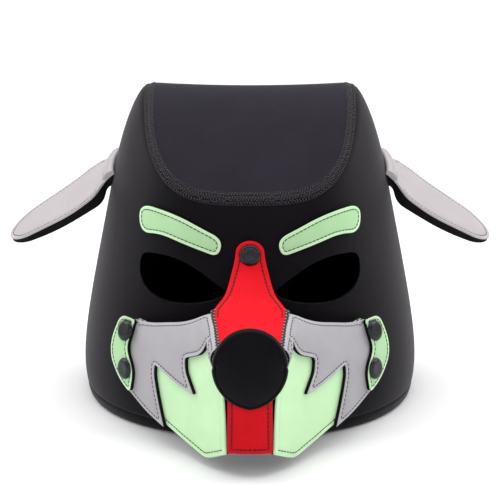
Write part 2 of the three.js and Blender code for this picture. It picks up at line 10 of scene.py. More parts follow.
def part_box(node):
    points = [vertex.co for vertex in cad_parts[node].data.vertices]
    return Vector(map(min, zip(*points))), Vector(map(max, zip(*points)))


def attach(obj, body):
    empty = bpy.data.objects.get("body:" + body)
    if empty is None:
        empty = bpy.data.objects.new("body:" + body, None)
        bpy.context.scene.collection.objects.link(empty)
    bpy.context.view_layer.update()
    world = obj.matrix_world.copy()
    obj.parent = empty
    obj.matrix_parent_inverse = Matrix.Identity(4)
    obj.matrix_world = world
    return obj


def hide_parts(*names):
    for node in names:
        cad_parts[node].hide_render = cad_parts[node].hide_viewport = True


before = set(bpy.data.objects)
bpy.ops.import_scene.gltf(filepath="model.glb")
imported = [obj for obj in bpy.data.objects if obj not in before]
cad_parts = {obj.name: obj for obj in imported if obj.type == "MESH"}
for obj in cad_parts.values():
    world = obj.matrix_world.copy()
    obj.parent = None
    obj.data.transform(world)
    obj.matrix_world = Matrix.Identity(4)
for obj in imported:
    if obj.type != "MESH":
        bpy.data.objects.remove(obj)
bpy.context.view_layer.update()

# Dog-head hood of foam-rubber sheet. Shapes are worked out in millimetres with the hood's
# upright axis at x = y = 0 and moved to the frame's origin when a mesh is made.
bpy.ops.object.select_all(action="DESELECT")
hoodAxis = (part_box("crown_panel")[0][1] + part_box("crown_panel")[1][1]) / 2
mirror = np.array([-1, 1, 1])


def unit(v):
    return v / np.maximum(np.linalg.norm(v, axis=-1, keepdims=True), 1e-9)


def smooth(x, low, high):
    t = np.clip((x - low) / (high - low), 0, 1)
    return t * t * (3 - 2 * t)


def halve(tooLow, low, high, steps=34):  # bisection on whole arrays
    low, high = np.array(low, float), np.array(high, float)
    for _ in range(steps):
        mid = (low + high) / 2
        up = tooLow(mid)
        low, high = np.where(up, mid, low), np.where(up, high, mid)
    return (low + high) / 2


def reachOf(line):  # distance run at each point
    return np.concatenate([[0], np.cumsum(np.linalg.norm(np.diff(line, axis=0), axis=1))])


def pick(at, reach, values):
    return np.stack([np.interp(at, reach, column) for column in values.T], 1)


def bend(a, b, c, t):
    return (1 - t) ** 2 * a + 2 * t * (1 - t) * b + t * t * c


def hump(x, width):
    return np.exp(-(x / width) ** 2)


def inFrame(points):
    return np.array(points, float) / 1000 + np.array([0, hoodAxis, 0])


def select(piece=None):
    bpy.ops.object.select_all(action="DESELECT")
    bpy.context.view_layer.objects.active = piece
    if piece:
        piece.select_set(True)


def addObject(name, data):
    made = bpy.data.objects.new(name, data)
    bpy.context.collection.objects.link(made)
    return made


def addMesh(name, shape):
    mesh = bpy.data.meshes.new(name)
    mesh.from_pydata(inFrame(shape["points"]).tolist(), [], shape["faces"])
    return addObject(name, mesh)


def addShape(name, shape, materials, slot, nodes=(), angle=40):
    piece = addMesh(name, shape)
    for material in materials:
        piece.data.materials.append(material)
    piece.data.polygons.foreach_set("material_index", shape.get("looks", [0] * len(shape["faces"])))
    if "inner" in shape:  # how far inside the sewn line each point lies, for the painted shade that darkens the jersey there
        tone = piece.data.attributes.new("inner", "FLOAT", "POINT")
        tone.data.foreach_set("value", shape["inner"].astype(np.float32))
    return finishPiece(piece, slot, nodes, angle)


def finishPiece(piece, slot, nodes=(), angle=40):
    select(piece)
    if angle:
        bpy.ops.object.shade_smooth_by_angle(angle=radians(angle))
    piece.select_set(False)
    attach(piece, "root")
    if nodes:
        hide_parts(*nodes)
    return piece


def addPair(name, shape, materials, slot, nodes=(), angle=40):
    other = {**shape, "points": np.array(shape["points"], float) * mirror, "faces": [f[::-1] for f in shape["faces"]]}
    for side, half in (("_left", shape), ("_right", other)):
        addShape(name + side, half, materials, slot, [n + side for n in nodes], angle)


def facingOut(shape):
    points = np.array(shape["points"], float)
    points = points - points.mean(0)
    parts = np.array([(f[0], b, c) for f in shape["faces"] for b, c in zip(f[1:-1], f[2:])]).T
    if (points[parts[0]] * np.cross(points[parts[1]], points[parts[2]])).sum() < 0:
        shape["faces"] = [f[::-1] for f in shape["faces"]]
    return shape


def joined(shapes):
    starts = np.cumsum([0] + [len(shape["points"]) for shape in shapes]).tolist()
    return {"points": np.concatenate([shape["points"] for shape in shapes]),
            "faces": [tuple(k + start for k in f) for shape, start in zip(shapes, starts) for f in shape["faces"]],
            "looks": [shape.get("look", 0) for shape in shapes for _ in shape["faces"]]}


def newMaterial(name):
    material = bpy.data.materials.new(name)
    material.use_nodes = True
    tree = material.node_tree
    return material, tree, addNode(tree, "TexCoord", "Object", {})


def setInputs(tree, node, values):  # outputs are linked, everything else is set on the socket
    for name, value in values.items():
        if isinstance(value, bpy.types.NodeSocket):
            tree.links.new(value, node.inputs[name])
        else:
            node.inputs[name].default_value = value


def setShader(tree, values):
    setInputs(tree, tree.nodes["Principled BSDF"], values)


def addNode(tree, kind, output, values):
    node = tree.nodes.new("ShaderNode" + kind)
    setInputs(tree, node, values)
    return node.outputs[output]


def noise(tree, place, scale, detail, rough=0.55):
    return addNode(tree, "TexNoise", "Fac", {"Vector": place, "Scale": scale, "Detail": detail, "Roughness": rough})


def cells(tree, place, scale, randomness=1.0):
    return addNode(tree, "TexVoronoi", "Distance", {"Vector": place, "Scale": scale, "Randomness": randomness})


def ramp(tree, source, low, high, colourLow, colourHigh):
    node = tree.nodes.new("ShaderNodeValToRGB")
    for stop, place, colour in zip(node.color_ramp.elements, (low, high), (colourLow, colourHigh)):
        stop.position, stop.color = place, (*colour, 1)
    tree.links.new(source, node.inputs["Fac"])
    return node.outputs["Color"]


def multiply(tree, amount, a, b):
    node = tree.nodes.new("ShaderNodeMix")
    node.data_type, node.blend_type = "RGBA", "MULTIPLY"
    setInputs(tree, node, {"Factor": amount, 6: a, 7: b})
    return node.outputs[2]


def bump(tree, height, strength, distance, **under):
    return addNode(tree, "Bump", "Normal", {"Strength": strength, "Distance": distance, "Height": height, **under})


def darker(colour, share):
    return tuple(c * share for c in colour)


def jersey(name, colour, shade, roughness, gloss, sheen, own):
    # Knitted face of the sheet: fine pebbled loops, faint cloudiness, a little sheen
    look = {"speck": 0.6, "grain": 0.25, "knit": 0.35, "tint": (1, 1, 1), **own}
    material, tree, place = newMaterial(name)
    base = ramp(tree, noise(tree, place, 38, 4), 0.3, 0.72, shade, colour)
    # Painted shade: inside the sewn line the colour is multiplied by the inner colour
    if "inner" in look:
        paintedShadeInside = tree.nodes.new("ShaderNodeAttribute")
        paintedShadeInside.attribute_name = "inner"
        base = multiply(tree, 1.0, base, ramp(tree, paintedShadeInside.outputs["Fac"], 0, 1, (1, 1, 1), look["inner"]))
    loops = cells(tree, place, 1500, 0.75)
    speck = ramp(tree, loops, 0, 0.75, (1, 1, 1), (0.8, 0.8, 0.8))
    grain = bump(tree, noise(tree, place, 620, 3), look["grain"], 0.0004)
    setShader(tree, {
        "Base Color": multiply(tree, look["speck"], base, speck), "Roughness": roughness, "Specular IOR Level": gloss,
        "Sheen Weight": sheen, "Sheen Roughness": 0.45, "Sheen Tint": (*look["tint"], 1),
        "Normal": bump(tree, loops, look["knit"], 0.00022, Normal=grain)})
    return material


def foamEdge(name, colour):
    # Cut edge of the sheet: closed cells, no sheen
    material, tree, place = newMaterial(name)
    holes = cells(tree, place, 2100)
    setShader(tree, {"Base Color": ramp(tree, holes, 0.1, 0.6, darker(colour, 0.35), colour), "Roughness": 0.9,
                     "Specular IOR Level": 0.1, "Normal": bump(tree, holes, 0.5, 0.0003)})
    return material


def thread(name, colour, roughness=0.62):
    # Spun sewing thread: tight twist and slightly uneven colour
    material, tree, place = newMaterial(name)
    twist = noise(tree, place, 2600, 2)
    setShader(tree, {"Base Color": ramp(tree, twist, 0.3, 0.7, darker(colour, 0.55), colour), "Roughness": roughness,
                     "Sheen Weight": 0.1, "Specular IOR Level": 0.3, "Normal": bump(tree, twist, 0.6, 0.0002)})
    return material


def moulded(name, colour, roughness):
    # Moulded cap: faint haze and hairline scratches in the gloss
    material, tree, place = newMaterial(name)
    haze = noise(tree, place, 210, 5, 0.7)
    spread = {"Value": haze, "To Min": roughness * 0.8, "To Max": roughness * 1.3}
    setShader(tree, {"Base Color": ramp(tree, haze, 0.35, 0.7, colour, darker(colour, 1.35)), "Specular IOR Level": 0.3,
                     "Roughness": addNode(tree, "MapRange", "Result", spread),
                     "Normal": bump(tree, noise(tree, place, 900, 2), 0.05, 0.0001)})
    return material


finishes = {  # colour, its darker clouds, roughness, gloss, sheen, and what differs from the plain jersey
    "black jersey": ((0.0030, 0.0021, 0.0037), (0.0021, 0.0015, 0.0026), 0.55, 0.06, 0.10, {"tint": (1.0, 0.92, 1.0)}),
    # Painted light: the crown's black jersey is given a lighter colour for the overhead light on its up-facing top
    "black crown jersey": ((0.0125, 0.0098, 0.0185), (0.0092, 0.0072, 0.0138), 0.55, 0.08, 0.035,
                           {"tint": (0.96, 0.9, 1.0), "grain": 0.6, "speck": 0.8}),
    "mint jersey": ((0.56, 0.81, 0.495), (0.50, 0.75, 0.44), 0.75, 0.12, 0.05, {"speck": 0.3}),
    # inner is painted shade: the colour inside a piece's sewn line is multiplied by it
    "mint patch jersey": ((0.58, 0.82, 0.52), (0.52, 0.76, 0.46), 0.75, 0.12, 0.05,
                          {"speck": 0.35, "inner": (0.72, 0.8, 0.72)}),
    "red jersey": ((0.77, 0.008, 0.018), (0.68, 0.006, 0.014), 0.7, 0.07, 0.015, {"speck": 0.5}),
    # Painted shade: the chin strip's red jersey is darkened because it faces away from the overhead light
    "red chin jersey": ((0.62, 0.006, 0.013), (0.54, 0.005, 0.010), 0.7, 0.07, 0.015, {"speck": 0.5}),
    "grey jersey": ((0.45, 0.43, 0.455), (0.40, 0.385, 0.41), 0.78, 0.12, 0.06, {"speck": 0.4, "inner": (0.86,) * 3}),
    "pale grey jersey": ((0.485, 0.45, 0.462), (0.445, 0.412, 0.424), 0.78, 0.12, 0.08,
                         {"speck": 0.3, "inner": (0.92,) * 3}),
    "black nose cloth": ((0.0016, 0.0012, 0.0026), (0.0011, 0.0009, 0.0018), 0.42, 0.07, 0.02,
                         {"grain": 0.15, "knit": 0.15}),
    "black lining": ((0.004, 0.0035, 0.0045), (0.003, 0.0025, 0.0035), 0.85, 0.08, 0.04, {}),
}
cloth = {name: jersey(name, *finish) for name, finish in finishes.items()}
core = foamEdge("cut foam rubber", (0.007, 0.006, 0.008))
blackThread = thread("black thread", (0.006, 0.0055, 0.007), 0.5)
# Painted highlight: the black looper thread is given a grey colour in place of the glints along it
seamThreadPaintedGlints = thread("dull seam thread", (0.055, 0.05, 0.06), 0.5)
darkGreenThread = thread("dark green thread", (0.010, 0.055, 0.018))
greyThread = thread("grey thread", (0.05, 0.047, 0.053))
darkRedThread = thread("dark red thread", (0.008, 0.001, 0.0015))
paleThread = thread("pale thread", (0.42, 0.48, 0.48))
capPlastic = moulded("black snap cap", (0.006, 0.0065, 0.008), 0.2)


def sheetLook(name):  # outside, cut edge and inside
    return [cloth[name], core, cloth["black lining"]]


print("materials ready")

hood = {
    "rimHalfWidth": 122, "rimHalfDepth": 122, "rimPower": 2.13,
    "seamHalfWidth": 73.5, "seamHalfDepth": 106, "seamPower": 3.65,
    "leanPower": 1.44, "shoulderShare": 0.276, "shoulderStart": 0.743,
    "bellyOut": 6.3, "bellyAt": 0.185,
    "crownTop": 232.2, "crownFall": 63.6, "backFall": 80, "crestRound": 30, "crownPower": 1.05, "crownDip": 2.3,
    "sheet": 3.5, "hemSheet": 6.4, "hemHeight": 9,
    "foldRound": 6.5, "columns": 240, "wallRows": 66, "crownRings": 38,
}


def ovalRadius(halfWidth, halfDepth, power, angle):
    side = np.abs(np.sin(angle)) / halfWidth
    front = np.abs(np.cos(angle)) / halfDepth
    return (side ** power + front ** power) ** (-1 / power)


def crownHeight(x, y):
    reach = np.hypot(hood["seamHalfDepth"], hood["crestRound"]) - hood["crestRound"]
    run = (np.hypot(y, hood["crestRound"]) - hood["crestRound"]) / reach
    fall = np.where(y < 0, hood["crownFall"], hood["backFall"]) * run ** hood["crownPower"]
    return hood["crownTop"] - fall - hood["crownDip"] * (1 - (x / hood["seamHalfWidth"]) ** 2)


def seamRadius(angle):
    return ovalRadius(hood["seamHalfWidth"], hood["seamHalfDepth"], hood["seamPower"], angle)


def seamHeight(angle):
    r = seamRadius(angle)
    return crownHeight(r * np.sin(angle), -r * np.cos(angle))


def wallRadius(angle, z):
    share = np.maximum(z / seamHeight(angle), 0)
    sides = hood["shoulderShare"] * np.sin(angle) ** 2
    late = np.clip((share - hood["shoulderStart"]) / (1 - hood["shoulderStart"]), 0, 1)
    lean = (1 - sides) * share ** hood["leanPower"] + sides * (1 - np.sqrt(1 - late * late))
    rim = ovalRadius(hood["rimHalfWidth"], hood["rimHalfDepth"], hood["rimPower"], angle)
    belly = hood["bellyOut"] * (share / hood["bellyAt"]) * np.exp(1 - share / hood["bellyAt"])
    return rim + (seamRadius(angle) - rim) * lean + belly


def aroundAxis(angle, r, z):
    return np.stack([r * np.sin(angle), -r * np.cos(angle), z], -1)


def wallAt(angle, z):
    return aroundAxis(angle, wallRadius(angle, z), z)


def crownAt(angle, r):
    return aroundAxis(angle, r, crownHeight(r * np.sin(angle), -r * np.cos(angle)))


def gridNormals(grid):  # closed round the axis, outward
    along = np.roll(grid, -1, 0) - np.roll(grid, 1, 0)
    up = np.empty_like(grid)
    up[:, 1:-1] = grid[:, 2:] - grid[:, :-2]
    up[:, 0], up[:, -1] = grid[:, 1] - grid[:, 0], grid[:, -1] - grid[:, -2]
    return unit(np.cross(along, up))


def hoodGrid():
    # One row after another from the hem up the wall, over the rounded fold and across the crown
    angle = np.arange(hood["columns"]) * 2 * pi / hood["columns"]
    corner = wallAt(angle, seamHeight(angle) - 1e-6)
    top, r = seamHeight(angle), seamRadius(angle)
    fold = hood["foldRound"]
    foldLow = halve(lambda z: np.linalg.norm(wallAt(angle, z) - corner, axis=-1) > fold, top - 2 * fold, top)
    foldIn = halve(lambda q: np.linalg.norm(crownAt(angle, q) - corner, axis=-1) > fold, r - 2 * fold, r)
    hemRows = [0, 0.5, 1.4, 2.8, 4.2, 5.6, 6.8, 7.6, 8.2, 8.6, 9.0, 9.4, 9.8, 10.4, 11.4, 12.8]
    rows = [wallAt(angle, np.full_like(angle, z)) for z in hemRows]
    for k in range(1, hood["wallRows"] + 1):
        share = k / hood["wallRows"]
        rows.append(wallAt(angle, hemRows[-1] + (foldLow - hemRows[-1]) * share))
    start, end = wallAt(angle, foldLow), crownAt(angle, foldIn)
    turns = [0.1, 0.2, 0.3, 0.38, 0.44, 0.48, 0.5, 0.52, 0.56, 0.62, 0.7, 0.8, 0.9]
    split = len(rows) + turns.index(0.5)
    for t in turns:
        rows.append(bend(start, corner, end, t))
    for k in range(hood["crownRings"]):
        rows.append(crownAt(angle, foldIn * (1 - (k / hood["crownRings"]))))
    return np.stack(rows, 1), split


def shellShape(outer, inner, closedTop):
    # Outer and inner grids closed round the axis and joined along the first row; the last is joined or fanned shut
    columns, rows = outer.shape[:2]
    points = np.concatenate([outer.reshape(-1, 3), inner.reshape(-1, 3)])
    faces, looks = [], []
    half = columns * rows
    for i in range(columns):
        a, b = i * rows, ((i + 1) % columns) * rows
        for j in range(rows - 1):
            faces.append((a + j, b + j, b + j + 1, a + j + 1))
            faces.append((half + a + j, half + a + j + 1, half + b + j + 1, half + b + j))
            looks += [0, 2]
        faces.append((a, half + a, half + b, b))
        looks.append(1)
        if not closedTop:
            t = rows - 1
            faces.append((a + t, b + t, half + b + t, half + a + t))
            looks.append(1)
    if closedTop:
        for base, order, look in ((0, 1, 0), (half, -1, 2)):
            ring = [base + i * rows + rows - 1 for i in range(columns)]
            faces += [(a, b, len(points))[::order] for a, b in zip(ring, ring[1:] + ring[:1])]
            looks += [look] * columns
            points = np.concatenate([points, points[ring].mean(0, keepdims=True)])
    return {"points": points, "faces": faces, "looks": looks}


def eyeOutline():
    # Teardrop with its point towards the nose, in the front view, from four cubic curves
    inner, top, outerX, low = (16.8, 104.5), (65, 127.4), 77, 94
    knee = (outerX, top[1] - 1)
    first, last = (top[0], top[1] - 1), (outerX, top[1] - 14)
    bow = [tuple(end[k] + (knee[k] - end[k]) * 0.8 for k in (0, 1)) for end in (first, last)]
    bottom = (top[0] - 14, low)
    t = np.linspace(0, 1, 26, endpoint=False)[:, None]
    return np.concatenate([
        (1 - t) ** 3 * a + 3 * t * (1 - t) ** 2 * b + 3 * t * t * (1 - t) * c + t ** 3 * d
        for a, b, c, d in map(np.array, (
            (inner, (inner[0] + 14, inner[1] + 9), (top[0] - 22, top[1]), first),
            (first, *bow, last),
            (last, (outerX, low + 5), (outerX - 14, low), bottom),
            (bottom, (inner[0] + 12, low), (inner[0] - 1, low + 6), inner)))])


def mouthOutline():
    half, low, high, corner = 34, 24, 78, 18
    points = []
    for turn, (x, z) in enumerate([(half - corner, low + corner), (half - corner, high - corner),
                                   (corner - half, high - corner), (corner - half, low + corner)]):
        for k in range(13):
            a = (turn - 1) * pi / 2 + k / 12 * pi / 2
            points.append((x + corner * np.cos(a), z + corner * np.sin(a)))
    return np.array(points)


def cutThrough(piece, outline, name):
    # Pushes an outline of the front view back through the front wall
    count = len(outline)
    points = [(x, y, z) for y in (-150, -60) for x, z in outline]
    faces = [tuple(range(count)), tuple(range(2 * count - 1, count - 1, -1))]
    faces += [(k, count + k, count + (k + 1) % count, (k + 1) % count) for k in range(count)]
    shape = facingOut({"points": np.array(points), "faces": faces})
    cutter = addMesh(name, shape)
    hole = piece.modifiers.new(name, "BOOLEAN")
    hole.operation, hole.solver, hole.object = "DIFFERENCE", "EXACT", cutter
    bpy.context.view_layer.objects.active = piece
    bpy.ops.object.modifier_apply(modifier=hole.name)
    bpy.data.objects.remove(cutter, do_unlink=True)


outer, split = hoodGrid()
normals = gridNormals(outer)
height = outer[:, :, 2]
acrossFold = np.linalg.norm(outer - outer[:, split:split + 1], axis=-1)
dent = {"hem": 0.8, "hemWidth": 0.75, "hemPuff": 0.35, "rim": 1.2, "rimRound": 1.4, "fold": 0.45, "foldWidth": 1.1,
        "back": 0.5, "backWidth": 1.6, "backRadius": 118}
out = -dent["hem"] * hump(height - hood["hemHeight"], dent["hemWidth"])
out += dent["hemPuff"] * smooth(height, 1, 3) * (1 - smooth(height, 6, 8.5))
out -= dent["rim"] * (1 - np.sqrt(1 - np.clip((dent["rimRound"] - height) / dent["rimRound"], 0, 1) ** 2))
out -= dent["fold"] * hump(acrossFold, dent["foldWidth"])
angles = np.arange(hood["columns"]) * 2 * pi / hood["columns"]
fromBack = np.abs(angles - pi)[:, None] * dent["backRadius"]
belowFold = np.arange(outer.shape[1])[None, :] <= split
out -= dent["back"] * hump(fromBack, dent["backWidth"]) * belowFold * smooth(height, 8, 12)
faceOut = outer + normals * out[..., None]
depth = hood["sheet"] + (hood["hemSheet"] - hood["sheet"]) * (1 - smooth(height, 8.5, 11))
faceIn = outer - normals * depth[..., None]
faceIn[:, 0, 2] = 0
faceOut[:, 0, 2] = 0

wallShape = shellShape(faceOut[:, :split + 1], faceIn[:, :split + 1], False)
crownShape = shellShape(faceOut[:, split:-1], faceIn[:, split:-1], True)
wall = addShape("hood_wall", wallShape, sheetLook("black jersey"), "hood_sheet", ["face_panel"], 0)
eye = eyeOutline()
cutThrough(wall, eye, "eye_left_cut")
cutThrough(wall, eye * np.array([-1, 1]), "eye_right_cut")
cutThrough(wall, mouthOutline(), "mouth_cut")
for face in wall.data.polygons:  # the sides of the holes show the cut edge
    if abs(face.normal.y) < 0.06 and face.center.y < hoodAxis - 0.06 and abs(face.center.x) < 0.085:
        face.material_index = 1
finishPiece(wall, "hood_sheet", (), 38)
# The crown's lighter colour is painted light from overhead
addShape("hood_crown", crownShape, sheetLook("black crown jersey"), "crown_sheet", ["crown_panel"], 50)
print("hood made")


def softOutline(corners):
    # Straight runs between corners, each corner rounded off by its own distance
    points = []
    for k, (x, y, r) in enumerate(corners):
        here = np.array([x, y], float)
        ends = []
        for other in (corners[k - 1], corners[(k + 1) % len(corners)]):
            way = np.array(other[:2], float) - here
            ends.append(here + way * min(r / np.linalg.norm(way), 0.49))
        if r == 0:
            points.append(here)
            continue
        for t in np.linspace(0, 1, max(int(r * 2), 4)):
            points.append(bend(ends[0], here, ends[1], t))
    return np.array(points)


def evenly(loop, spacing, corner=24):
    # Points at even steps along a closed line, sharp corners kept
    loop = loop[np.linalg.norm(loop - np.roll(loop, 1, 0), axis=1) > 1e-3]
    before, after = loop - np.roll(loop, 1, 0), np.roll(loop, -1, 0) - loop
    turn = np.abs(np.degrees(np.arctan2(
        before[:, 0] * after[:, 1] - before[:, 1] * after[:, 0], (before * after).sum(1))))
    sharp = [k for k in range(len(loop)) if turn[k] > corner] or [0]
    points = []
    for n, k in enumerate(sharp):
        stop = sharp[(n + 1) % len(sharp)]
        count = (stop - k) % len(loop) or len(loop)
        run = loop[[(k + m) % len(loop) for m in range(count + 1)]]
        reach = reachOf(run)
        count = max(int(round(reach[-1] / spacing)), 1)
        points.append(pick(np.linspace(0, reach[-1], count + 1)[:-1], reach, run))
    return np.concatenate(points)


def insideLoop(points, loop):
    x, y = points[:, 0][:, None], points[:, 1][:, None]
    x0, y0 = loop[:, 0][None], loop[:, 1][None]
    x1, y1 = np.roll(loop[:, 0], -1)[None], np.roll(loop[:, 1], -1)[None]
    crosses = ((y0 > y) != (y1 > y)) & (x < (x1 - x0) * (y - y0) / np.where(y1 == y0, 1e-9, y1 - y0) + x0)
    return crosses.sum(1) % 2 == 1


def clipBox(loop, low, high):
    # Keeps the part of a closed line inside an upright rectangle
    for axis in (0, 1):
        for sign, edge in ((1, low[axis]), (-1, high[axis])):
            kept = []
            for k in range(len(loop)):
                a, b = loop[k - 1], loop[k]
                inA, inB = sign * (a[axis] - edge) >= 0, sign * (b[axis] - edge) >= 0
                if inA != inB:
                    t = (edge - a[axis]) / (b[axis] - a[axis])
                    kept.append(a + (b - a) * t)
                if inB:
                    kept.append(b)
            loop = np.array(kept)
    return loop


def treeOf(points):
    tree = KDTree(len(points))
    for k, p in enumerate(points):
        tree.insert((*p, 0.0)[:3], k)
    tree.balance()
    return tree


def nearest(tree, points):
    return np.array([tree.find((*p, 0.0)[:3])[2] for p in points])


def between(loop, count=4):
    ahead = np.roll(loop, -1, 0)
    return np.concatenate([loop + (ahead - loop) * k / count for k in range(count)])


def fillOutline(outline, spacing):
    loop = evenly(outline, spacing)
    area = (loop[:, 0] * np.roll(loop[:, 1], -1) - loop[:, 1] * np.roll(loop[:, 0], -1)).sum()
    if area < 0:
        loop = loop[::-1]
    edge = treeOf(between(loop))
    along = np.roll(loop, -1, 0) - np.roll(loop, 1, 0)
    inward = unit(np.stack([-along[:, 1], along[:, 0]], 1))
    points = [loop]
    for inset in (0.35, 0.8):
        ring = loop + inward * inset
        ring = ring[insideLoop(ring, loop)]
        points.append(ring[nearest(edge, ring) > 0.85 * inset])
    low, high = loop.min(0), loop.max(0)
    rows = np.arange(low[1], high[1], spacing * 0.87)
    grid = np.array([(x + (n % 2) * spacing / 2, y) for n, y in enumerate(rows)
                     for x in np.arange(low[0], high[0], spacing)])
    grid = grid[insideLoop(grid, loop)]
    points.append(grid[nearest(edge, grid) > 0.8 + 0.5 * spacing])
    flat = np.concatenate(points)
    count = len(loop)
    edges = [(k, (k + 1) % count) for k in range(count)]
    verts, _, faces, sources, _, _ = delaunay_2d_cdt([Vector(p) for p in flat], edges, [], 1, 1e-6)
    place = {original: k for k, source in enumerate(sources) for original in source}
    flat = np.array([tuple(v) for v in verts])
    faces = [tuple(f) for f in faces]
    first = flat[list(faces[0])]
    if np.cross(first[1] - first[0], first[2] - first[0]) < 0:
        faces = [f[::-1] for f in faces]
    return flat, faces, [place[k] for k in range(count)]


def surfaceOf(pointAt, outward, step=0.8):
    # Gives points at a distance off a surface, from a flat pattern laid on it
    def place(flat, off=0.0):
        du, dv = np.array([step, 0]), np.array([0, step])
        normal = unit(np.cross(pointAt(flat + du) - pointAt(flat - du), pointAt(flat + dv) - pointAt(flat - dv)))
        point = pointAt(flat)
        facing = np.sign((normal * outward(point)).sum(1, keepdims=True))
        return point + normal * facing * np.reshape(off, (-1, 1))
    return place


def sheetPiece(outline, place, look, under=None):
    # Top, underside and cut edge; the top is rounded at the edge, sewn down at the inset and puffed inside it
    look = {"edge": 0.45, "groove": 0.4, "puff": 0.25, "spacing": 1.2, **look}
    flat, faces, loop = fillOutline(outline, look["spacing"])
    lift, thick = look["lift"], look["thickness"]
    middle = place(flat, lift + thick / 2)
    edge = treeOf(between(middle[loop], 5))
    fromEdge = nearest(edge, middle)
    fromEdge[loop] = 0
    t = np.clip(1 - fromEdge / look["edge"], 0, 1)
    top = thick - look["edge"] * (1 - np.sqrt(np.maximum(1 - t * t, 0)))
    top = top - look["groove"] * hump(fromEdge - look["inset"], 0.85)
    top = top + look["puff"] * (1 - hump(np.maximum(fromEdge - look["inset"], 0), 3.0))
    if "shape" in look:
        top = top + look["shape"](flat)
    upper, below = place(flat, lift + top), under(flat) if under else place(flat, lift)
    skin = upper[loop] + (below[loop] - upper[loop]) * 0.2 / thick
    n, m = len(flat), len(loop)
    index = [loop, [2 * n + k for k in range(m)], [n + k for k in loop]]
    closed = faces + [tuple(n + k for k in f[::-1]) for f in faces]
    for high, low in zip(index, index[1:]):
        closed += [(low[k - 1], low[k], high[k], high[k - 1]) for k in range(m)]
    looks = np.repeat([0, 2, 0, 1], [len(faces), len(faces), m, m]).tolist()
    # share inside the sewn line, read by the jersey for its painted shade
    inner = np.concatenate([smooth(fromEdge, look["inset"] - 0.5, look["inset"] + 0.3), np.zeros(n + m)])
    shape = facingOut({"points": np.concatenate([upper, below, skin]), "faces": closed, "looks": looks, "inner": inner})
    normal = unit(place(flat, lift + top + 1) - upper)
    return shape, {"points": upper, "normals": normal, "faces": faces, "fromEdge": fromEdge}


def insetLines(top, level):
    # Closed and open lines at one distance from the edge of a piece
    points, normals, values = top["points"], top["normals"], top["fromEdge"]
    spots, links = {}, {}
    for face in top["faces"]:
        ends = [(min(a, b), max(a, b)) for a, b in zip(face, face[1:] + face[:1])
                if (values[a] < level) != (values[b] < level)]
        for a, b in ends:
            t = (level - values[a]) / (values[b] - values[a])
            spots[a, b] = (points[a] + (points[b] - points[a]) * t, normals[a] + (normals[b] - normals[a]) * t)
        if len(ends) == 2:
            links.setdefault(ends[0], []).append(ends[1])
            links.setdefault(ends[1], []).append(ends[0])
    lines, seen = [], set()
    for start in [k for k in links if len(links[k]) == 1] + list(links):
        line, ahead = [], [start] if start not in seen else []
        while ahead:
            line.append(ahead[0])
            seen.add(ahead[0])
            ahead = [k for k in links[ahead[0]] if k not in seen]
        if len(line) > 8:
            place, normal = np.array([spots[k] for k in line]).transpose(1, 0, 2)
            lines.append((place, unit(normal), line[0] in links[line[-1]]))
    return lines


def steps(line, normal, closed, pitch):
    # Even steps along a line: places, directions and normals
    if closed:
        line, normal = np.concatenate([line, line[:1]]), np.concatenate([normal, normal[:1]])
    for _ in range(3):
        line[1:-1] = (line[:-2] + 2 * line[1:-1] + line[2:]) / 4
    reach = reachOf(line)
    count = max(int(round(reach[-1] / pitch)), 2)
    at = (np.arange(count) + 0.5) * reach[-1] / count
    ahead = unit(pick(at + 0.6, reach, line) - pick(at - 0.6, reach, line))
    return pick(at, reach, line), ahead, unit(pick(at, reach, normal))


def stitchBall():  # six sided ball, its poles along the stitch
    select()
    bpy.ops.mesh.primitive_uv_sphere_add(segments=6, ring_count=5, radius=1)
    ball = bpy.context.object
    points = np.array([tuple(v.co) for v in ball.data.vertices])
    faces = [tuple(f.vertices) for f in ball.data.polygons]
    bpy.data.objects.remove(ball)
    return points, faces


ballPoints, ballFaces = stitchBall()


def stitchShape(places, ahead, up, length, radius):
    # The ball drawn out to a stitch with sunk ends, copied to each place
    side = unit(np.cross(up, ahead))
    sink = 0.4 - 1.1 * ballPoints[:, 2] ** 4
    points = (places[:, None] + ahead[:, None] * ballPoints[None, :, 2:3] * length / 2
              + side[:, None] * ballPoints[None, :, 0:1] * radius
              + up[:, None] * (ballPoints[None, :, 1:2] * 0.8 + sink[None, :, None]) * radius)
    count = len(ballPoints)
    faces = [tuple(k + n * count for k in f) for n in range(len(places)) for f in ballFaces]
    return {"points": points.reshape(-1, 3), "faces": faces}


def threadShape(line, normal, radius, look=0, sides=5):
    # A thread swept along a line, slightly flattened, with closed ends
    ahead = unit(np.gradient(line, axis=0))
    side = unit(np.cross(ahead, normal))
    up = unit(np.cross(side, ahead)) * 0.8
    rings = [line + (side * cos(a) + up * sin(a)) * radius for a in 2 * pi * np.arange(sides) / sides]
    faces = [(n * sides + k, n * sides + j, (n + 1) * sides + j, (n + 1) * sides + k)
             for n in range(len(line) - 1) for k, j in zip(range(sides), [*range(1, sides), 0])]
    faces += [tuple(range(sides))[::-1], tuple((len(line) - 1) * sides + k for k in range(sides))]
    return facingOut({"points": np.stack(rings, 1).reshape(-1, 3), "faces": faces, "look": look})


def sewAlong(name, top, piece, look, material, slot, keep=None, both=True):
    found = []
    for line, normal, closed in insetLines(top, piece["inset"]):
        places, ahead, up = steps(line, normal, closed, look["pitch"])
        kept = keep(places) if keep else np.full(len(places), True)
        places, ahead, up = places[kept], ahead[kept], up[kept]
        found.append(stitchShape(places + up * 0.05, ahead, up, look["length"], look["radius"]))
    add = addPair if both else addShape
    add(name, joined(found), [material], slot, (), 60)


stitch = {"pitch": 3.0, "length": 3.05, "radius": 0.37}
boldStitch = {**stitch, "length": 3.3, "radius": 0.5}

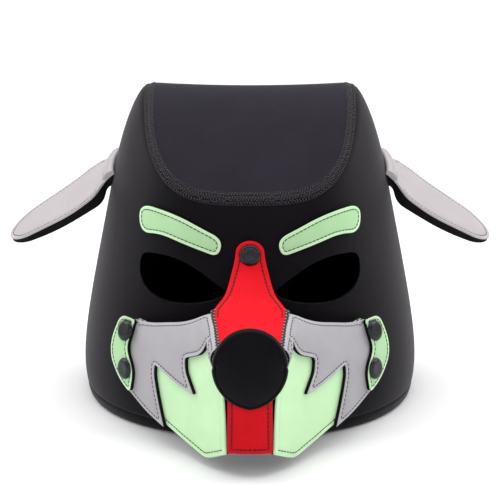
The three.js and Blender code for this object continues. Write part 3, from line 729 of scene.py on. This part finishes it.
brow = {"lift": 0.6, "thickness": 2.6, "edge": 0.7, "inset": 2.5, "groove": 0.45, "puff": 0.35, "spacing": 1.1,
        "corners": [(77.5, 159.5, 10.5), (52, 156.5, 14), (18.5, 140, 8), (21.5, 128, 6), (45, 136, 14),
                    (62, 141.5, 8), (77, 139, 10)]}
wallRound = 110  # the wall's pattern is laid out at this radius
onWall = surfaceOf(lambda flat: wallAt(flat[:, 0] / wallRound, flat[:, 1]), lambda p: p * np.array([1, 1, 0]))


def toPattern(targets, solve, place, view, lift):
    # Finds the pattern point whose place at a distance off the surface shows at each target
    aim = targets.copy()
    for _ in range(7):
        flat = solve(aim)
        aim = aim + (targets - view(place(flat, lift))) * 0.9
    return solve(aim)


def wallPattern(aim):
    none = np.zeros(len(aim))
    angle = halve(lambda a: wallRadius(a, aim[:, 1]) * np.sin(a) < aim[:, 0], none, none + pi / 2)
    return np.stack([angle * wallRound, aim[:, 1]], 1)


browLine = evenly(softOutline(brow["corners"]), 0.8)
browFlat = toPattern(browLine, wallPattern, onWall, lambda p: p[:, [0, 2]], brow["lift"] + brow["thickness"])
browShape, browTop = sheetPiece(browFlat, onWall, brow)
addPair("brow_patch", browShape, sheetLook("mint patch jersey"), "green_sheet", ["brow"])
sewAlong("brow_stitches", browTop, brow, stitch, darkGreenThread, "green_sheet")
print("brows made")

bridge = {"thickness": 3.5, "edge": 0.9, "inset": 3.4, "groove": 0.5, "puff": 0.3, "lift": -3.5,
          "stops": [(-114.6, 139.5, 9.4), (-116.6, 128, 10.2), (-122, 117.5, 13), (-133.5, 109.5, 16.8),
                    (-149, 103.5, 24.5), (-168, 97.5, 22.6), (-193, 91.5, 20.3)],
          "round": 8, "arch": 3.5}
muzzle = {"cheekAngle": 0.885, "cheekTop": (82, -85, 82), "cheekTurn": (45, -113, 79), "lipTurn": (32.5, -168),
          "lipEnd": (13.5, -186), "lipBack": 24, "lipFront": 0, "lipRise": 11, "rollPower": 2.3,
          "wideShare": 0.6, "rest": 1, "sheet": 3.5, "trim": 2.6, "gap": 0.3}
stops = np.array([(half, y, z) for y, z, half in bridge["stops"]], float)


def bridgeLine(share):
    # Centripetal curve through the bridge's stops: half width, depth and height
    share = np.clip(share, 0, 1)
    spans = len(stops) - 1
    at = share * spans
    k = np.minimum(at.astype(int), spans - 1)
    t = (at - k)[:, None]
    ends = np.concatenate([[2 * stops[0] - stops[1]], stops, [2 * stops[-1] - stops[-2]]])
    a, b, c, d = ends[k], ends[k + 1], ends[k + 2], ends[k + 3]
    reach = lambda p, q: np.sqrt(np.linalg.norm(p - q, axis=1))[:, None]
    ab, bc, cd = reach(a, b), reach(b, c), reach(c, d)
    one = ((b - a) / ab - (c - a) / (ab + bc) + (c - b) / bc) * bc
    two = ((c - b) / bc - (d - b) / (bc + cd) + (d - c) / cd) * bc
    return b + one * t + (-3 * b + 3 * c - 2 * one - two) * t * t + (2 * b - 2 * c + one + two) * t ** 3


def bridgeShare(share, least):  # stops, and the half width rounded off at the bridge's top
    stop = bridgeLine(share)
    run = (stops[0, 2] - stop[:, 2]) / bridge["round"]
    return stop, stop[:, 0] * np.where(run < 1, np.sqrt(np.maximum(1 - (1 - run) ** 2, least)), 1)


def bridgeAt(flat):  # pattern: millimetres across, and share of the length times 100
    stop, half = bridgeShare(flat[:, 1] / 100, 0.02)
    arch = bridge["arch"] * smooth(-stop[:, 1], 118, 149) * (flat[:, 0] / half) ** 2
    return np.stack([flat[:, 0], stop[:, 1], stop[:, 2] - np.minimum(arch, 5)], 1)


def upperEdge(share):
    under = muzzle["sheet"] + muzzle["gap"] + muzzle["trim"] + bridge["arch"]
    beside = lambda stop: np.stack([stop[:, 0] + muzzle["gap"], stop[:, 1], stop[:, 2] - under], 1)
    wide = muzzle["wideShare"]
    t = np.clip(share / wide, 0, 1)[:, None]
    free = bend(np.array(muzzle["cheekTop"]), np.array(muzzle["cheekTurn"]), beside(stops[4:5])[0], t)
    first = 4 / (len(stops) - 1)
    along = first + (np.clip(share, wide, 1) - wide) / (1 - wide) * (1 - first)
    return np.where((share <= wide)[:, None], free, beside(bridgeLine(along)))


def lowerEdge(share):
    cheek = wallAt(np.array([muzzle["cheekAngle"]]), np.array([float(muzzle["lipBack"])]))[0]
    drop = (muzzle["lipFront"] - muzzle["lipBack"]) * np.minimum(share / 0.85, 1)
    rise = muzzle["lipRise"] * np.maximum((share - 0.8) / 0.2, 0) ** 2
    x, y = (bend(cheek[k], muzzle["lipTurn"][k], muzzle["lipEnd"][k], share) for k in (0, 1))
    return np.stack([x, y, muzzle["lipBack"] + drop + rise], 1)


snoutSize = np.array([140, 100])


def snoutAt(flat):  # pattern: shares along and up times the snout's size
    share, up = np.clip(flat / snoutSize, 0, 1).T
    high, low = upperEdge(share), lowerEdge(share)
    turn = up * pi / 2
    wide = np.maximum(np.cos(turn), 0) ** (2 / muzzle["rollPower"])
    rise = np.sin(turn) ** (2 / muzzle["rollPower"])
    x, y = (high + (low - high) * wide[:, None])[:, :2].T
    z = low[:, 2] + (high[:, 2] - low[:, 2]) * rise
    angle = np.arctan2(x, -y)
    r = np.maximum(np.hypot(x, y), wallRadius(angle, z) + muzzle["rest"])
    return aroundAxis(angle, r, z)


sideAlong = unit(np.array([-0.59, -0.807]))
sideOut = np.array([-sideAlong[1], sideAlong[0], 0.25])
snoutSkin = surfaceOf(snoutAt, lambda p: sideOut[None, :], 1.6)


def onSnout(flat, off):
    # Straight off the side; over the last of the rolled edge the way turns up to the bridge's edge
    calm = np.clip(flat, (1.7, 1.7), (138.3, 84))
    turn = (smooth(flat[:, 1], 80, 100) * smooth(flat[:, 0], 50, 84))[:, None]
    out = unit((snoutSkin(calm, 1.0) - snoutAt(calm)) * (1 - turn) + np.array([0.1, 0, 1]) * turn)
    return snoutAt(flat) + out * np.reshape(off, (-1, 1))


def sideView(p):
    return np.stack([p[:, 0] * sideAlong[0] + p[:, 1] * sideAlong[1], p[:, 2]], 1)


def snoutPattern(targets, lift):
    # Finds the pattern point that shows at each target, at one distance off the snout
    def seen(flat):
        inside = np.clip(flat, (0, 0), snoutSize)
        return sideView(onSnout(inside, lift)) + (flat - inside) * (1, 0.9)

    flat = np.tile([70.0, 50.0], (len(targets), 1))
    ones = np.ones(len(targets))
    for _ in range(7):
        for k, low, high in ((1, -60, 160), (0, -80, 220)):
            other = flat[:, 1 - k].copy()
            pair = lambda v: np.stack([v, other] if k == 0 else [other, v], 1)
            flat[:, k] = halve(lambda v: seen(pair(v))[:, k] < targets[:, k], low * ones, high * ones, 22)
    return flat


def snoutPiece(look):
    line = evenly(softOutline(look["corners"]), 0.8)
    flat = snoutPattern(line, look["lift"] + look["thickness"])
    return sheetPiece(clipBox(flat, (0, 0), snoutSize), onSnout, look)


sideBack = [(34, 81, 3), (38, 33, 3)]
lipCorners = [(62.4, 21.8, 10), (123, 5.8, 5), (143, 14.5, 0)]
freeEdge = [(50, 81.3, 10), (88.8, 90.2, 14), (112.5, 102, 1)]
green = {"lift": 0, "thickness": 3.5, "edge": 1.0, "inset": 3.6, "puff": 0.0,
         "corners": sideBack + lipCorners + [(160, 112, 0)] + [(a, z - 2.6, r) for a, z, r in reversed(freeEdge)]}
flame = {"lift": 3.8, "thickness": 3.2, "edge": 0.5, "inset": 2.5, "spacing": 1.1,
         "corners": freeEdge + [(160, 112, 0), (160, 75, 0), (139, 74.5, 0), (132, 81, 2), (125.5, 88.5, 0.8),
                                (117.5, 76.5, 6), (100, 70, 2.5), (102.5, 61.5, 3), (113.5, 48.2, 1.5), (97, 50, 8),
                                (68, 57.5, 1.5), (68.3, 50.5, 3), (81.5, 16.8, 0),
                                lipCorners[0], sideBack[1], sideBack[0]]}
tab = {"lift": 7.4, "thickness": 3.2, "edge": 0.5, "inset": 2.2, "puff": 0.2, "spacing": 1.0,
       "corners": [(39.5, 82, 3), (25, 83.3, 10), (19, 56, 14), (33, 39.5, 8), (46.5, 32.5, 3.5), (49.5, 48, 7),
                   (39, 62, 5), (40.5, 75, 4)]}

greenShape, greenTop = snoutPiece(green)
addPair("side_sheet", greenShape, sheetLook("mint jersey"), "green_sheet", ["muzzle_side"])
flameShape, flameTop = snoutPiece(flame)
addPair("flame_sheet", flameShape, sheetLook("grey jersey"), "grey_sheet", ["muzzle_flame"])
tabShape, tabTop = snoutPiece(tab)
addPair("tab_sheet", tabShape, sheetLook("mint patch jersey"), "green_sheet", ["cheek_tab"])


def lowLip(places):  # along the lower edge in front of the grey piece
    a = sideView(places)
    return (a[:, 1] < 26) & (a[:, 0] > 80) & ((places[:, 0] > 19) | (places[:, 2] < 17))


sewAlong("lip_stitches", greenTop, green, stitch, darkGreenThread, "green_sheet", lowLip)
sewAlong("flame_stitches", flameTop, flame, {**stitch, "length": 2.5}, greyThread, "grey_sheet")
sewAlong("tab_stitches", tabTop, tab, stitch, darkGreenThread, "green_sheet")
print("muzzle sides made")

share = np.linspace(0, 1, 120) ** 1.3
half = np.stack([bridgeShare(share, 0.0)[1], share * 100], 1)
bridgeFlat = np.concatenate([half, (half * (-1, 1))[::-1][:-1]])
onBridge = surfaceOf(bridgeAt, lambda p: np.array([[0, -0.5, 0.85]]), 0.8)
bridgeShape, bridgeTop = sheetPiece(bridgeFlat, onBridge, bridge)
addShape("bridge_sheet", bridgeShape, sheetLook("red jersey"), "red_sheet", ["muzzle_bridge"])
sewAlong("bridge_stitches", bridgeTop, bridge, boldStitch, darkRedThread, "red_sheet", lambda p: p[:, 1] > -156, False)

joint = {"width": 1.5, "pitch": 3.6, "radius": 0.36}


def zigzag(edge, across, up, pitch, count, width, rise, phase=0.0):
    # Middle line of a thread that swings from side to side along an edge, highest halfway
    reach = reachOf(edge)
    at = np.linspace(0, reach[-1], count)
    swing = (np.abs(((at / pitch + phase) % 1) * 2 - 1) * 2 - 1)[:, None]
    line = pick(at, reach, edge) + pick(at, reach, across) * swing * width
    above = pick(at, reach, up)
    return line + above * (rise + 0.35 * (1 - swing ** 2)), above


def overlock(edge, across, up):
    # Two zigzag threads of opposite phase along a line
    count = int(reachOf(edge)[-1] / joint["pitch"] * 10)
    return joined([threadShape(*zigzag(edge, across, up, joint["pitch"], count, joint["width"], 0.25, phase),
                               joint["radius"] * size, look)
                   for phase, size, look in ((0, 1.15, 0), (0.5, 0.65, 1))])


def bridgeJoint():  # between the bridge and the grey piece
    along = np.linspace(0.655, 1, 400)
    line = np.stack([bridgeShare(along, 0.0)[1], along * 100], 1)
    edge, inside, above = onBridge(line), onBridge(line - (1, 0)), onBridge(line - (1, 0), 1.0)
    return overlock(edge, unit(edge - inside), unit(above - inside))


def frontJoint():  # down the cut front end beside the nose
    flat = np.stack([np.full(200, 139.9), np.linspace(99, 60, 200)], 1)
    low = green["thickness"] * 0.5
    high = (flame["lift"] + flame["thickness"]) * 0.55
    middle = low + (high - low) * smooth(flat[:, 1], 66, 74)
    edge = onSnout(flat, middle)
    across = unit(onSnout(flat, middle + 1) - edge)
    front = np.cross(unit(np.gradient(edge, axis=0)), across)
    return overlock(edge, across, front * -np.sign(front[:, 1:2]))


addPair("front_overlock", frontJoint(), [blackThread, paleThread], "black_core", (), 60)
addPair("bridge_overlock", bridgeJoint(), [blackThread, paleThread], "black_core", (), 60)
print("bridge made")

chin = {"halfTop": 13.6, "halfLow": 14.1, "low": 17, "high": 60, "y": -188.9, "bow": 1.6, "crease": 0.35,
        "lift": 0, "thickness": 3.5, "edge": 0.5, "inset": 2.9, "puff": 0.3, "spacing": 1.0,
        "shape": lambda flat: -chin["crease"] * hump(flat[:, 0], 0.9)}


def chinAt(flat):
    across = flat[:, 0] / chin["halfLow"]
    return np.stack([flat[:, 0], chin["y"] - chin["bow"] * (1 - across ** 2), flat[:, 1]], 1)


onChin = surfaceOf(chinAt, lambda p: np.array([[0, -1, 0]]))
chinLine = softOutline([(chin["halfLow"], chin["low"], 1.5), (chin["halfTop"], chin["high"], 0),
                        (-chin["halfTop"], chin["high"], 0), (-chin["halfLow"], chin["low"], 1.5)])
chinShape, chinTop = sheetPiece(chinLine, onChin, chin)
# The chin strip's darker red is painted shade
addShape("chin_sheet", chinShape, sheetLook("red chin jersey"), "red_sheet", ["chin_strip"])
sewAlong("chin_stitches", chinTop, chin, boldStitch, darkRedThread, "red_sheet", None, False)
print("chin strip made")

nose = {"halfWidth": 24.4, "up": 26.2, "down": 27.3, "z": 76.5, "y": -194.4, "columns": 144}


def turnOut():  # faces of the edited mesh
    bpy.ops.mesh.select_all(action="SELECT")
    bpy.ops.mesh.normals_make_consistent(inside=False)
    bpy.ops.object.mode_set(mode="OBJECT")


def drawnUp(name, section, count):
    # A disc, its face drawn up and sized ring by ring along the section
    select()
    bpy.ops.mesh.primitive_circle_add(vertices=count, radius=section[0][0] / 1000, fill_type="NGON")
    piece = bpy.context.object
    piece.name = piece.data.name = name
    bpy.ops.object.mode_set(mode="EDIT")
    bpy.ops.mesh.select_all(action="SELECT")
    for (wide, low), (narrow, high) in zip(section, section[1:]):
        bpy.ops.mesh.extrude_region_move(TRANSFORM_OT_translate={"value": (0, 0, (high - low) / 1000)})
        bpy.ops.transform.resize(value=(narrow / wide, narrow / wide, 1), center_override=(0, 0, high / 1000))
    turnOut()
    return piece


noseSection = [(0.94, 0.0), (0.975, 0.4), (0.995, 1.4), (1.0, 2.6), (0.995, 3.8), (0.98, 4.9), (0.96, 5.7), (0.94, 6.1),
               (0.925, 6.15), (0.91, 5.95), (0.895, 5.85), (0.88, 6.2), (0.86, 6.7)]
noseSection += [(r, 6.7 + 5.3 * (1 - (r / 0.86) ** 2.4)) for r in np.linspace(0.86, 0.01, 22)[1:]]


def padNose():
    # Padded disc with a rolled rim and a sewn line; tucked at both sides, slightly pointed below
    piece = drawnUp("nose_cushion", [(r * 10, h) for r, h in noseSection], nose["columns"])
    form = np.array([tuple(v.co) for v in piece.data.vertices]) * 100
    x, z, out = form[:, 0], -form[:, 1], form[:, 2] * 10
    reach = np.hypot(x, z)
    tuck = hump(z - 0.03, 0.035) * smooth(reach, 0.8, 0.94)
    half = nose["halfWidth"] * (1 - 0.09 * np.maximum(-z, 0) ** 2) * (1 - 0.035 * tuck)
    point = 0.5 * hump(x, 0.12) * (z < -0.8)
    up = np.where(z > 0, z * nose["up"], z * nose["down"]) - point
    where = np.stack([x * half, nose["y"] - out + 1.6 * tuck * smooth(out, 2, 5), nose["z"] + up], 1)
    piece.data.vertices.foreach_set("co", inFrame(where).ravel())
    select(piece)
    bpy.ops.object.mode_set(mode="EDIT")
    turnOut()
    piece.data.materials.append(cloth["black nose cloth"])
    return finishPiece(piece, "nose_sheet", ["nose"], 60)


noseCushion = padNose()
print("nose made")

cap = {"columns": 48, "section": [(6.8, 0), (7.3, 0.1), (7.4, 0.45), (7.2, 1.0), (6.7, 1.6), (6.0, 2.05), (5.2, 2.32),
                                  (4.4, 2.4), (3.2, 2.3), (1.5, 2.26), (0.3, 2.25)],
       "cheek": [("upper", 0.12, 0.58), ("lower", 0.16, 0.26)]}


def seatCap(name, node, seat, normal):
    piece = drawnUp(name, cap["section"], cap["columns"])
    turn = Vector((0, 0, 1)).rotation_difference(Vector(normal)).to_matrix().to_4x4()
    piece.data.transform(Matrix.Translation(Vector(inFrame(seat))) @ turn)
    piece.data.materials.append(capPlastic)
    return finishPiece(piece, "snap_cap", [node], 35)


for name, along, up in cap["cheek"]:
    spot = np.array([[along, up]]) * snoutSize
    top = tab["lift"] + tab["thickness"] + 0.25
    seat = onSnout(spot, top)[0]
    normal = unit(onSnout(spot, top + 1.0)[0] - seat)
    for side, flip in (("_left", 1), ("_right", mirror)):
        seatCap(name + "_cap" + side, name + "_snap" + side, seat * flip, normal * flip)
spot = np.array([[0.0, 14.0]])
seatCap("bridge_cap", "bridge_snap", onBridge(spot, 0.35)[0], unit(onBridge(spot, 1.0)[0] - onBridge(spot)[0]))
print("snap caps made")

ear = {"z": 172, "length": 96.9, "halfWidth": 31, "tilt": 0.25, "rootSlope": -0.75, "tipSlope": -0.53, "rest": 1,
       "foam": 5.5, "thinning": 0.62, "rootDepth": 3.0, "face": 1.4, "gap": 0.1, "foldWidth": 7.2, "foldHeight": 2.8,
       "root": 0.85}
earSteps = np.linspace(0, 1, 401)
earSlope = ear["rootSlope"] + (ear["tipSlope"] - ear["rootSlope"]) * smooth(earSteps, 0.1, 0.6)
earRun, earFall = (np.concatenate([[0], np.cumsum((way[1:] + way[:-1]) / 2)]) * ear["length"] / 400
                   for way in (np.cos(earSlope), np.sin(earSlope)))


def earHalf(share):
    base = 0.65 + 0.35 * smooth(share, 0.05, 0.22)
    taper = 1 - 0.42 * np.maximum((share - 0.3) / 0.7, 0) ** 1.3
    tip = np.maximum((share - 0.8) / 0.2, 0)
    return ear["halfWidth"] * base * taper * np.sqrt(np.maximum(1 - tip * tip, 0)) + 0.8


def earAt(flat):  # pattern: millimetres along, millimetres towards the front
    share = np.clip(flat[:, 0] / ear["length"], 0, 1)
    y = -flat[:, 1] * np.cos(ear["tilt"])
    drop = flat[:, 1] * np.sin(ear["tilt"])
    middle = wallRadius(np.array([pi / 2]), np.array([float(ear["z"])]))
    seat = wallRadius(np.arctan2(middle, -y), ear["z"] - drop)
    hug = np.maximum(1 - share / 0.3, 0)
    wallX = middle + (np.sqrt(np.maximum(seat * seat - y * y, 0)) - middle) * hug
    x = wallX + ear["rest"] + np.interp(share, earSteps, earRun)
    x = x + np.minimum(flat[:, 0], 0)
    return np.stack([x, y, ear["z"] + np.interp(share, earSteps, earFall) - drop], 1)


def earUnder(flat):  # underside of the foam: thinner to the tip, deeper at the wall
    share = np.clip(flat[:, 0] / ear["length"], 0, 1)
    thin = 1 - ear["thinning"] * np.maximum((share - 0.6) / 0.4, 0) ** 1.6
    depth = ear["foam"] * thin + ear["rootDepth"] * (1 - smooth(share, 0, 0.42))
    normal = onEar(flat, 1.0) - earAt(flat)
    way = normal + (np.array([-0.25, 0, 0.97]) - normal) * (1 - smooth(share, 0, 0.2))[:, None]
    return earAt(flat) - way * depth[:, None]


def earFold(flat):  # rounded fold along the wall and the crease beside it
    run = 2 * (flat[:, 0] + ear["root"]) / (ear["foldWidth"] + ear["root"]) - 1
    fold = ear["foldHeight"] * np.sqrt(np.maximum(1 - run * run, 0))
    return fold - 1.15 * hump(flat[:, 0] - ear["foldWidth"] - 0.7, 0.85)


onEar = surfaceOf(earAt, lambda p: np.array([[0.35, -0.1, 0.95]]), 1.0)
along = np.sin(np.linspace(0, 1, 90) * pi / 2) ** 1.15
half = np.stack([along * ear["length"], earHalf(along)], 1)
half[0, 0] = -ear["root"]  # drawn in to the wall
earLine = np.concatenate([half, (half * (1, -1))[::-1][1:]])
earCore = {"lift": 0, "thickness": ear["foam"], "edge": 0.4, "inset": 3, "groove": 0, "puff": 0, "spacing": 1.6,
           "shape": lambda flat: -ear["foam"]}
earFace = {"lift": ear["gap"], "thickness": ear["face"] + 0.2, "edge": 0.6, "inset": 3.0, "groove": 0.7,
           "puff": 0.35, "spacing": 1.05, "shape": earFold}
coreShape, _ = sheetPiece(earLine, onEar, earCore, earUnder)
addPair("ear_foam", coreShape, [core, core, core], "black_core", ["ear_back"])
faceShape, faceTop = sheetPiece(earLine, onEar, earFace)
addPair("ear_leaf", faceShape, [cloth["pale grey jersey"]] * 2 + [core], "grey_sheet", ["ear_face"])
sewAlong("ear_stitches", faceTop, earFace, stitch, greyThread, "grey_sheet", lambda p: p[:, 0] > 112)
# Sewn line along the whole crease beside the fold: partly the real seam, partly a dark line painted in for the crease's
# shade
tuck = {"half": 19, "pitch": 2.6, "length": 2.6, "radius": 0.42}
tuckLine = np.stack([np.full(80, ear["foldWidth"] + 0.7), np.linspace(-tuck["half"], tuck["half"], 80)], 1)
tuckAt = onEar(tuckLine, ear["gap"] + earFace["thickness"] - 0.35)
places, ahead, up = steps(tuckAt, onEar(tuckLine, 3.0) - onEar(tuckLine, 2.0), False, tuck["pitch"])
addPair("ear_tuck", stitchShape(places, ahead, up, tuck["length"], tuck["radius"]), [greyThread], "grey_sheet", (), 60)
print("ears made")

crownSeam = {"halfFront": 4.3, "halfSide": 3.0, "shift": 1.2, "pitch": 2.0, "rows": (-0.75, -0.25, 0.25, 0.75),
             "slant": 0.85, "length": 2.3, "radius": 0.33, "edgeRadius": 0.42, "reach": 6, "near": 16}
hemSeam = {"pitch": 3.4, "length": 2.7, "radius": 0.34}
backSeam = {"pitch": 2.2, "width": 1.8, "radius": 0.34, "low": 11}


def seamBand():
    # Lines at fixed distances across the fold, one point for each column of the hood
    count = crownSeam["near"]
    near = slice(split - count, split + count)
    levels = np.linspace(-crownSeam["reach"], crownSeam["reach"], 25)
    bands = []
    for line, norm in zip(faceOut[:, near], normals[:, near]):
        reach = reachOf(line)
        bands.append([pick(reach[count] + levels, reach, values) for values in (line, norm)])
    places, ups = np.array(bands + bands[:1]).transpose(1, 0, 2, 3)
    return levels, places, ups


def coverStitch():
    # Four rows of slanted looper thread between three rows of needle thread
    levels, places, ups = seamBand()
    reach = reachOf(places[:, 12])
    front = np.maximum(np.cos(np.linspace(0, 2 * pi, len(reach))), 0)
    half = crownSeam["halfSide"] + (crownSeam["halfFront"] - crownSeam["halfSide"]) * front ** 1.5
    beats = int(round(reach[-1] / crownSeam["pitch"]))
    random = np.random.default_rng(7)

    def stitchesAt(beat, across, lift, lean, length, radius, look):
        at = beat / beats * reach[-1]
        column = np.interp(at, reach, np.arange(len(reach)))
        offset = across * np.interp(at, reach, half) + np.interp(at, reach, crownSeam["shift"] * front)
        level = (offset - levels[0]) / (levels[1] - levels[0])
        i, j = np.minimum(column.astype(int), len(reach) - 2), np.clip(level.astype(int), 0, len(levels) - 2)
        a, b = (column - i)[:, None], (level - j)[:, None]

        def mixed(v):
            return ((v[i, j] * (1 - a) + v[i + 1, j] * a) * (1 - b)
                    + (v[i, j + 1] * (1 - a) + v[i + 1, j + 1] * a) * b)

        up = unit(mixed(ups))
        line = mixed(places) + up * np.reshape(lift, (-1, 1))
        ahead = unit(np.roll(line, -1, 0) - np.roll(line, 1, 0))
        slanted = ahead * np.cos(lean) + np.cross(up, ahead) * np.sin(lean)
        return {**stitchShape(line, slanted, up, length, radius), "look": look}

    shapes = []
    # the looper rows take the grey thread, whose colour is painted highlight
    for n, row in enumerate(crownSeam["rows"]):  # each row leans the other way
        lean = (crownSeam["slant"] * (1 if n % 2 else -1) + random.normal(0, 0.4, beats))[:, None]
        shapes.append(stitchesAt(np.arange(beats) + 0.5 * (n % 2), row + random.normal(0, 0.05, beats),
                                 0.12 + random.uniform(0, 0.16, beats), lean, crownSeam["length"],
                                 crownSeam["radius"], 0))
    for side in (-1.08, 0, 1.08):  # needle threads along the edges and the middle
        shapes.append(stitchesAt(np.arange(beats) + 0.5, side, 0.15, 0, crownSeam["pitch"] * 0.95,
                                 crownSeam["edgeRadius"], 1))
    return joined(shapes)


def hemStitches():
    row = next(k for k in range(faceOut.shape[1]) if abs(outer[0, k, 2] - hood["hemHeight"]) < 0.05)
    places, ahead, up = steps(faceOut[:, row], normals[:, row], True, hemSeam["pitch"])
    return stitchShape(places + up * 0.15, ahead, up, hemSeam["length"], hemSeam["radius"])


def backZigzag():
    # Flat zigzag down the middle of the back
    column = hood["columns"] // 2
    rows = [k for k in range(split - 8) if outer[column, k, 2] > backSeam["low"]]
    line, norm = faceOut[column, rows], normals[column, rows]
    sideways = np.tile([1.0, 0, 0], (len(line), 1))
    count = int(reachOf(line)[-1] / backSeam["pitch"]) * 8
    path, above = zigzag(line, sideways, norm, backSeam["pitch"], count, backSeam["width"], 0.2)
    return threadShape(path, above, backSeam["radius"])


addShape("crown_coverstitch", coverStitch(), [seamThreadPaintedGlints, blackThread], "hood_sheet", (), 60)
addShape("hem_stitches", hemStitches(), [blackThread], "hood_sheet", (), 60)
addShape("back_zigzag", backZigzag(), [blackThread], "hood_sheet", (), 60)
print("seams made")

studio = {"floorRadius": 6, "curve": 1.5, "wall": 3.5, "colour": (0.88, 0.88, 0.885), "world": 0.55, "sky": 2.1,
          "softboxes": [("left", (-1.2, 0.2, 0.95), 0.14, (0.7, 1.1), 8),
                        ("right", (1.2, 0.2, 0.95), 0.14, (0.7, 1.1), 8),
                        ("front", (0, -1.7, 1.0), 0.1, (1.6, 0.8), 4)]}
select()
bpy.ops.mesh.primitive_circle_add(vertices=96, radius=studio["floorRadius"], fill_type="NGON", location=(0, 0, -0.0005))
floor = bpy.context.object
floor.name = "floor"
bpy.ops.object.mode_set(mode="EDIT")
bpy.ops.mesh.select_all(action="SELECT")
bpy.ops.mesh.region_to_loop()
sweep = [(studio["floorRadius"] + studio["curve"] * sin(a), studio["curve"] * (1 - cos(a)))
         for a in np.linspace(0, pi / 2, 9)]
sweep.append((sweep[-1][0] + 0.01, sweep[-1][1] + studio["wall"]))
for (near, low), (far, high) in zip(sweep, sweep[1:]):  # the floor sweeps up into the backdrop
    bpy.ops.mesh.extrude_region_move(TRANSFORM_OT_translate={"value": (0, 0, high - low)})
    bpy.ops.transform.resize(value=(far / near, far / near, 1), center_override=(0, 0, high))
bpy.ops.object.mode_set(mode="OBJECT")
bpy.ops.object.shade_smooth_by_angle(angle=radians(50))
floorPaint, tree, place = newMaterial("pale floor")
setShader(tree, {"Roughness": 0.9, "Specular IOR Level": 0.2, "Base Color": ramp(
    tree, noise(tree, place, 2, 3), 0.3, 0.7, darker(studio["colour"], 0.985), studio["colour"])})
floor.data.materials.append(floorPaint)

world = bpy.context.scene.world or bpy.data.worlds.new("studio")
bpy.context.scene.world = world
world.use_nodes = True
setInputs(world.node_tree, world.node_tree.nodes["Background"], {"Color": (1, 1, 1, 1), "Strength": studio["world"]})


def aimed(name, data, place, target):
    holder = addObject(name, data)
    holder.location = place
    holder.rotation_euler = (Vector(target) - Vector(place)).to_track_quat("-Z", "Y").to_euler()
    return holder


def lamp(name, kind, place, target, energy):
    light = bpy.data.lights.new(name, kind)
    light.energy = energy
    aimed(name, light, place, target)
    return light


lamp("overhead", "SUN", (0, 0.6, 3), (0, 0, 0), studio["sky"]).angle = radians(70)
for name, place, height, size, power in studio["softboxes"]:
    box = lamp(name + " softbox", "AREA", place, (0, 0, height), power)
    box.shape = "RECTANGLE"
    box.size, box.size_y = size

view = {"distance": 1.1, "elevation": 14, "height": 0.1046, "focal": 1447 / 500 * 36}
lens = bpy.data.cameras.new("camera")
lens.sensor_width, lens.lens = 36, view["focal"]
tilt = radians(view["elevation"])
target = Vector((0, hoodAxis, view["height"]))
bpy.context.scene.camera = aimed("camera", lens, target + Vector((0, -cos(tilt), sin(tilt))) * view["distance"], target)
bpy.context.scene.view_settings.view_transform = "Standard"
print("studio ready")
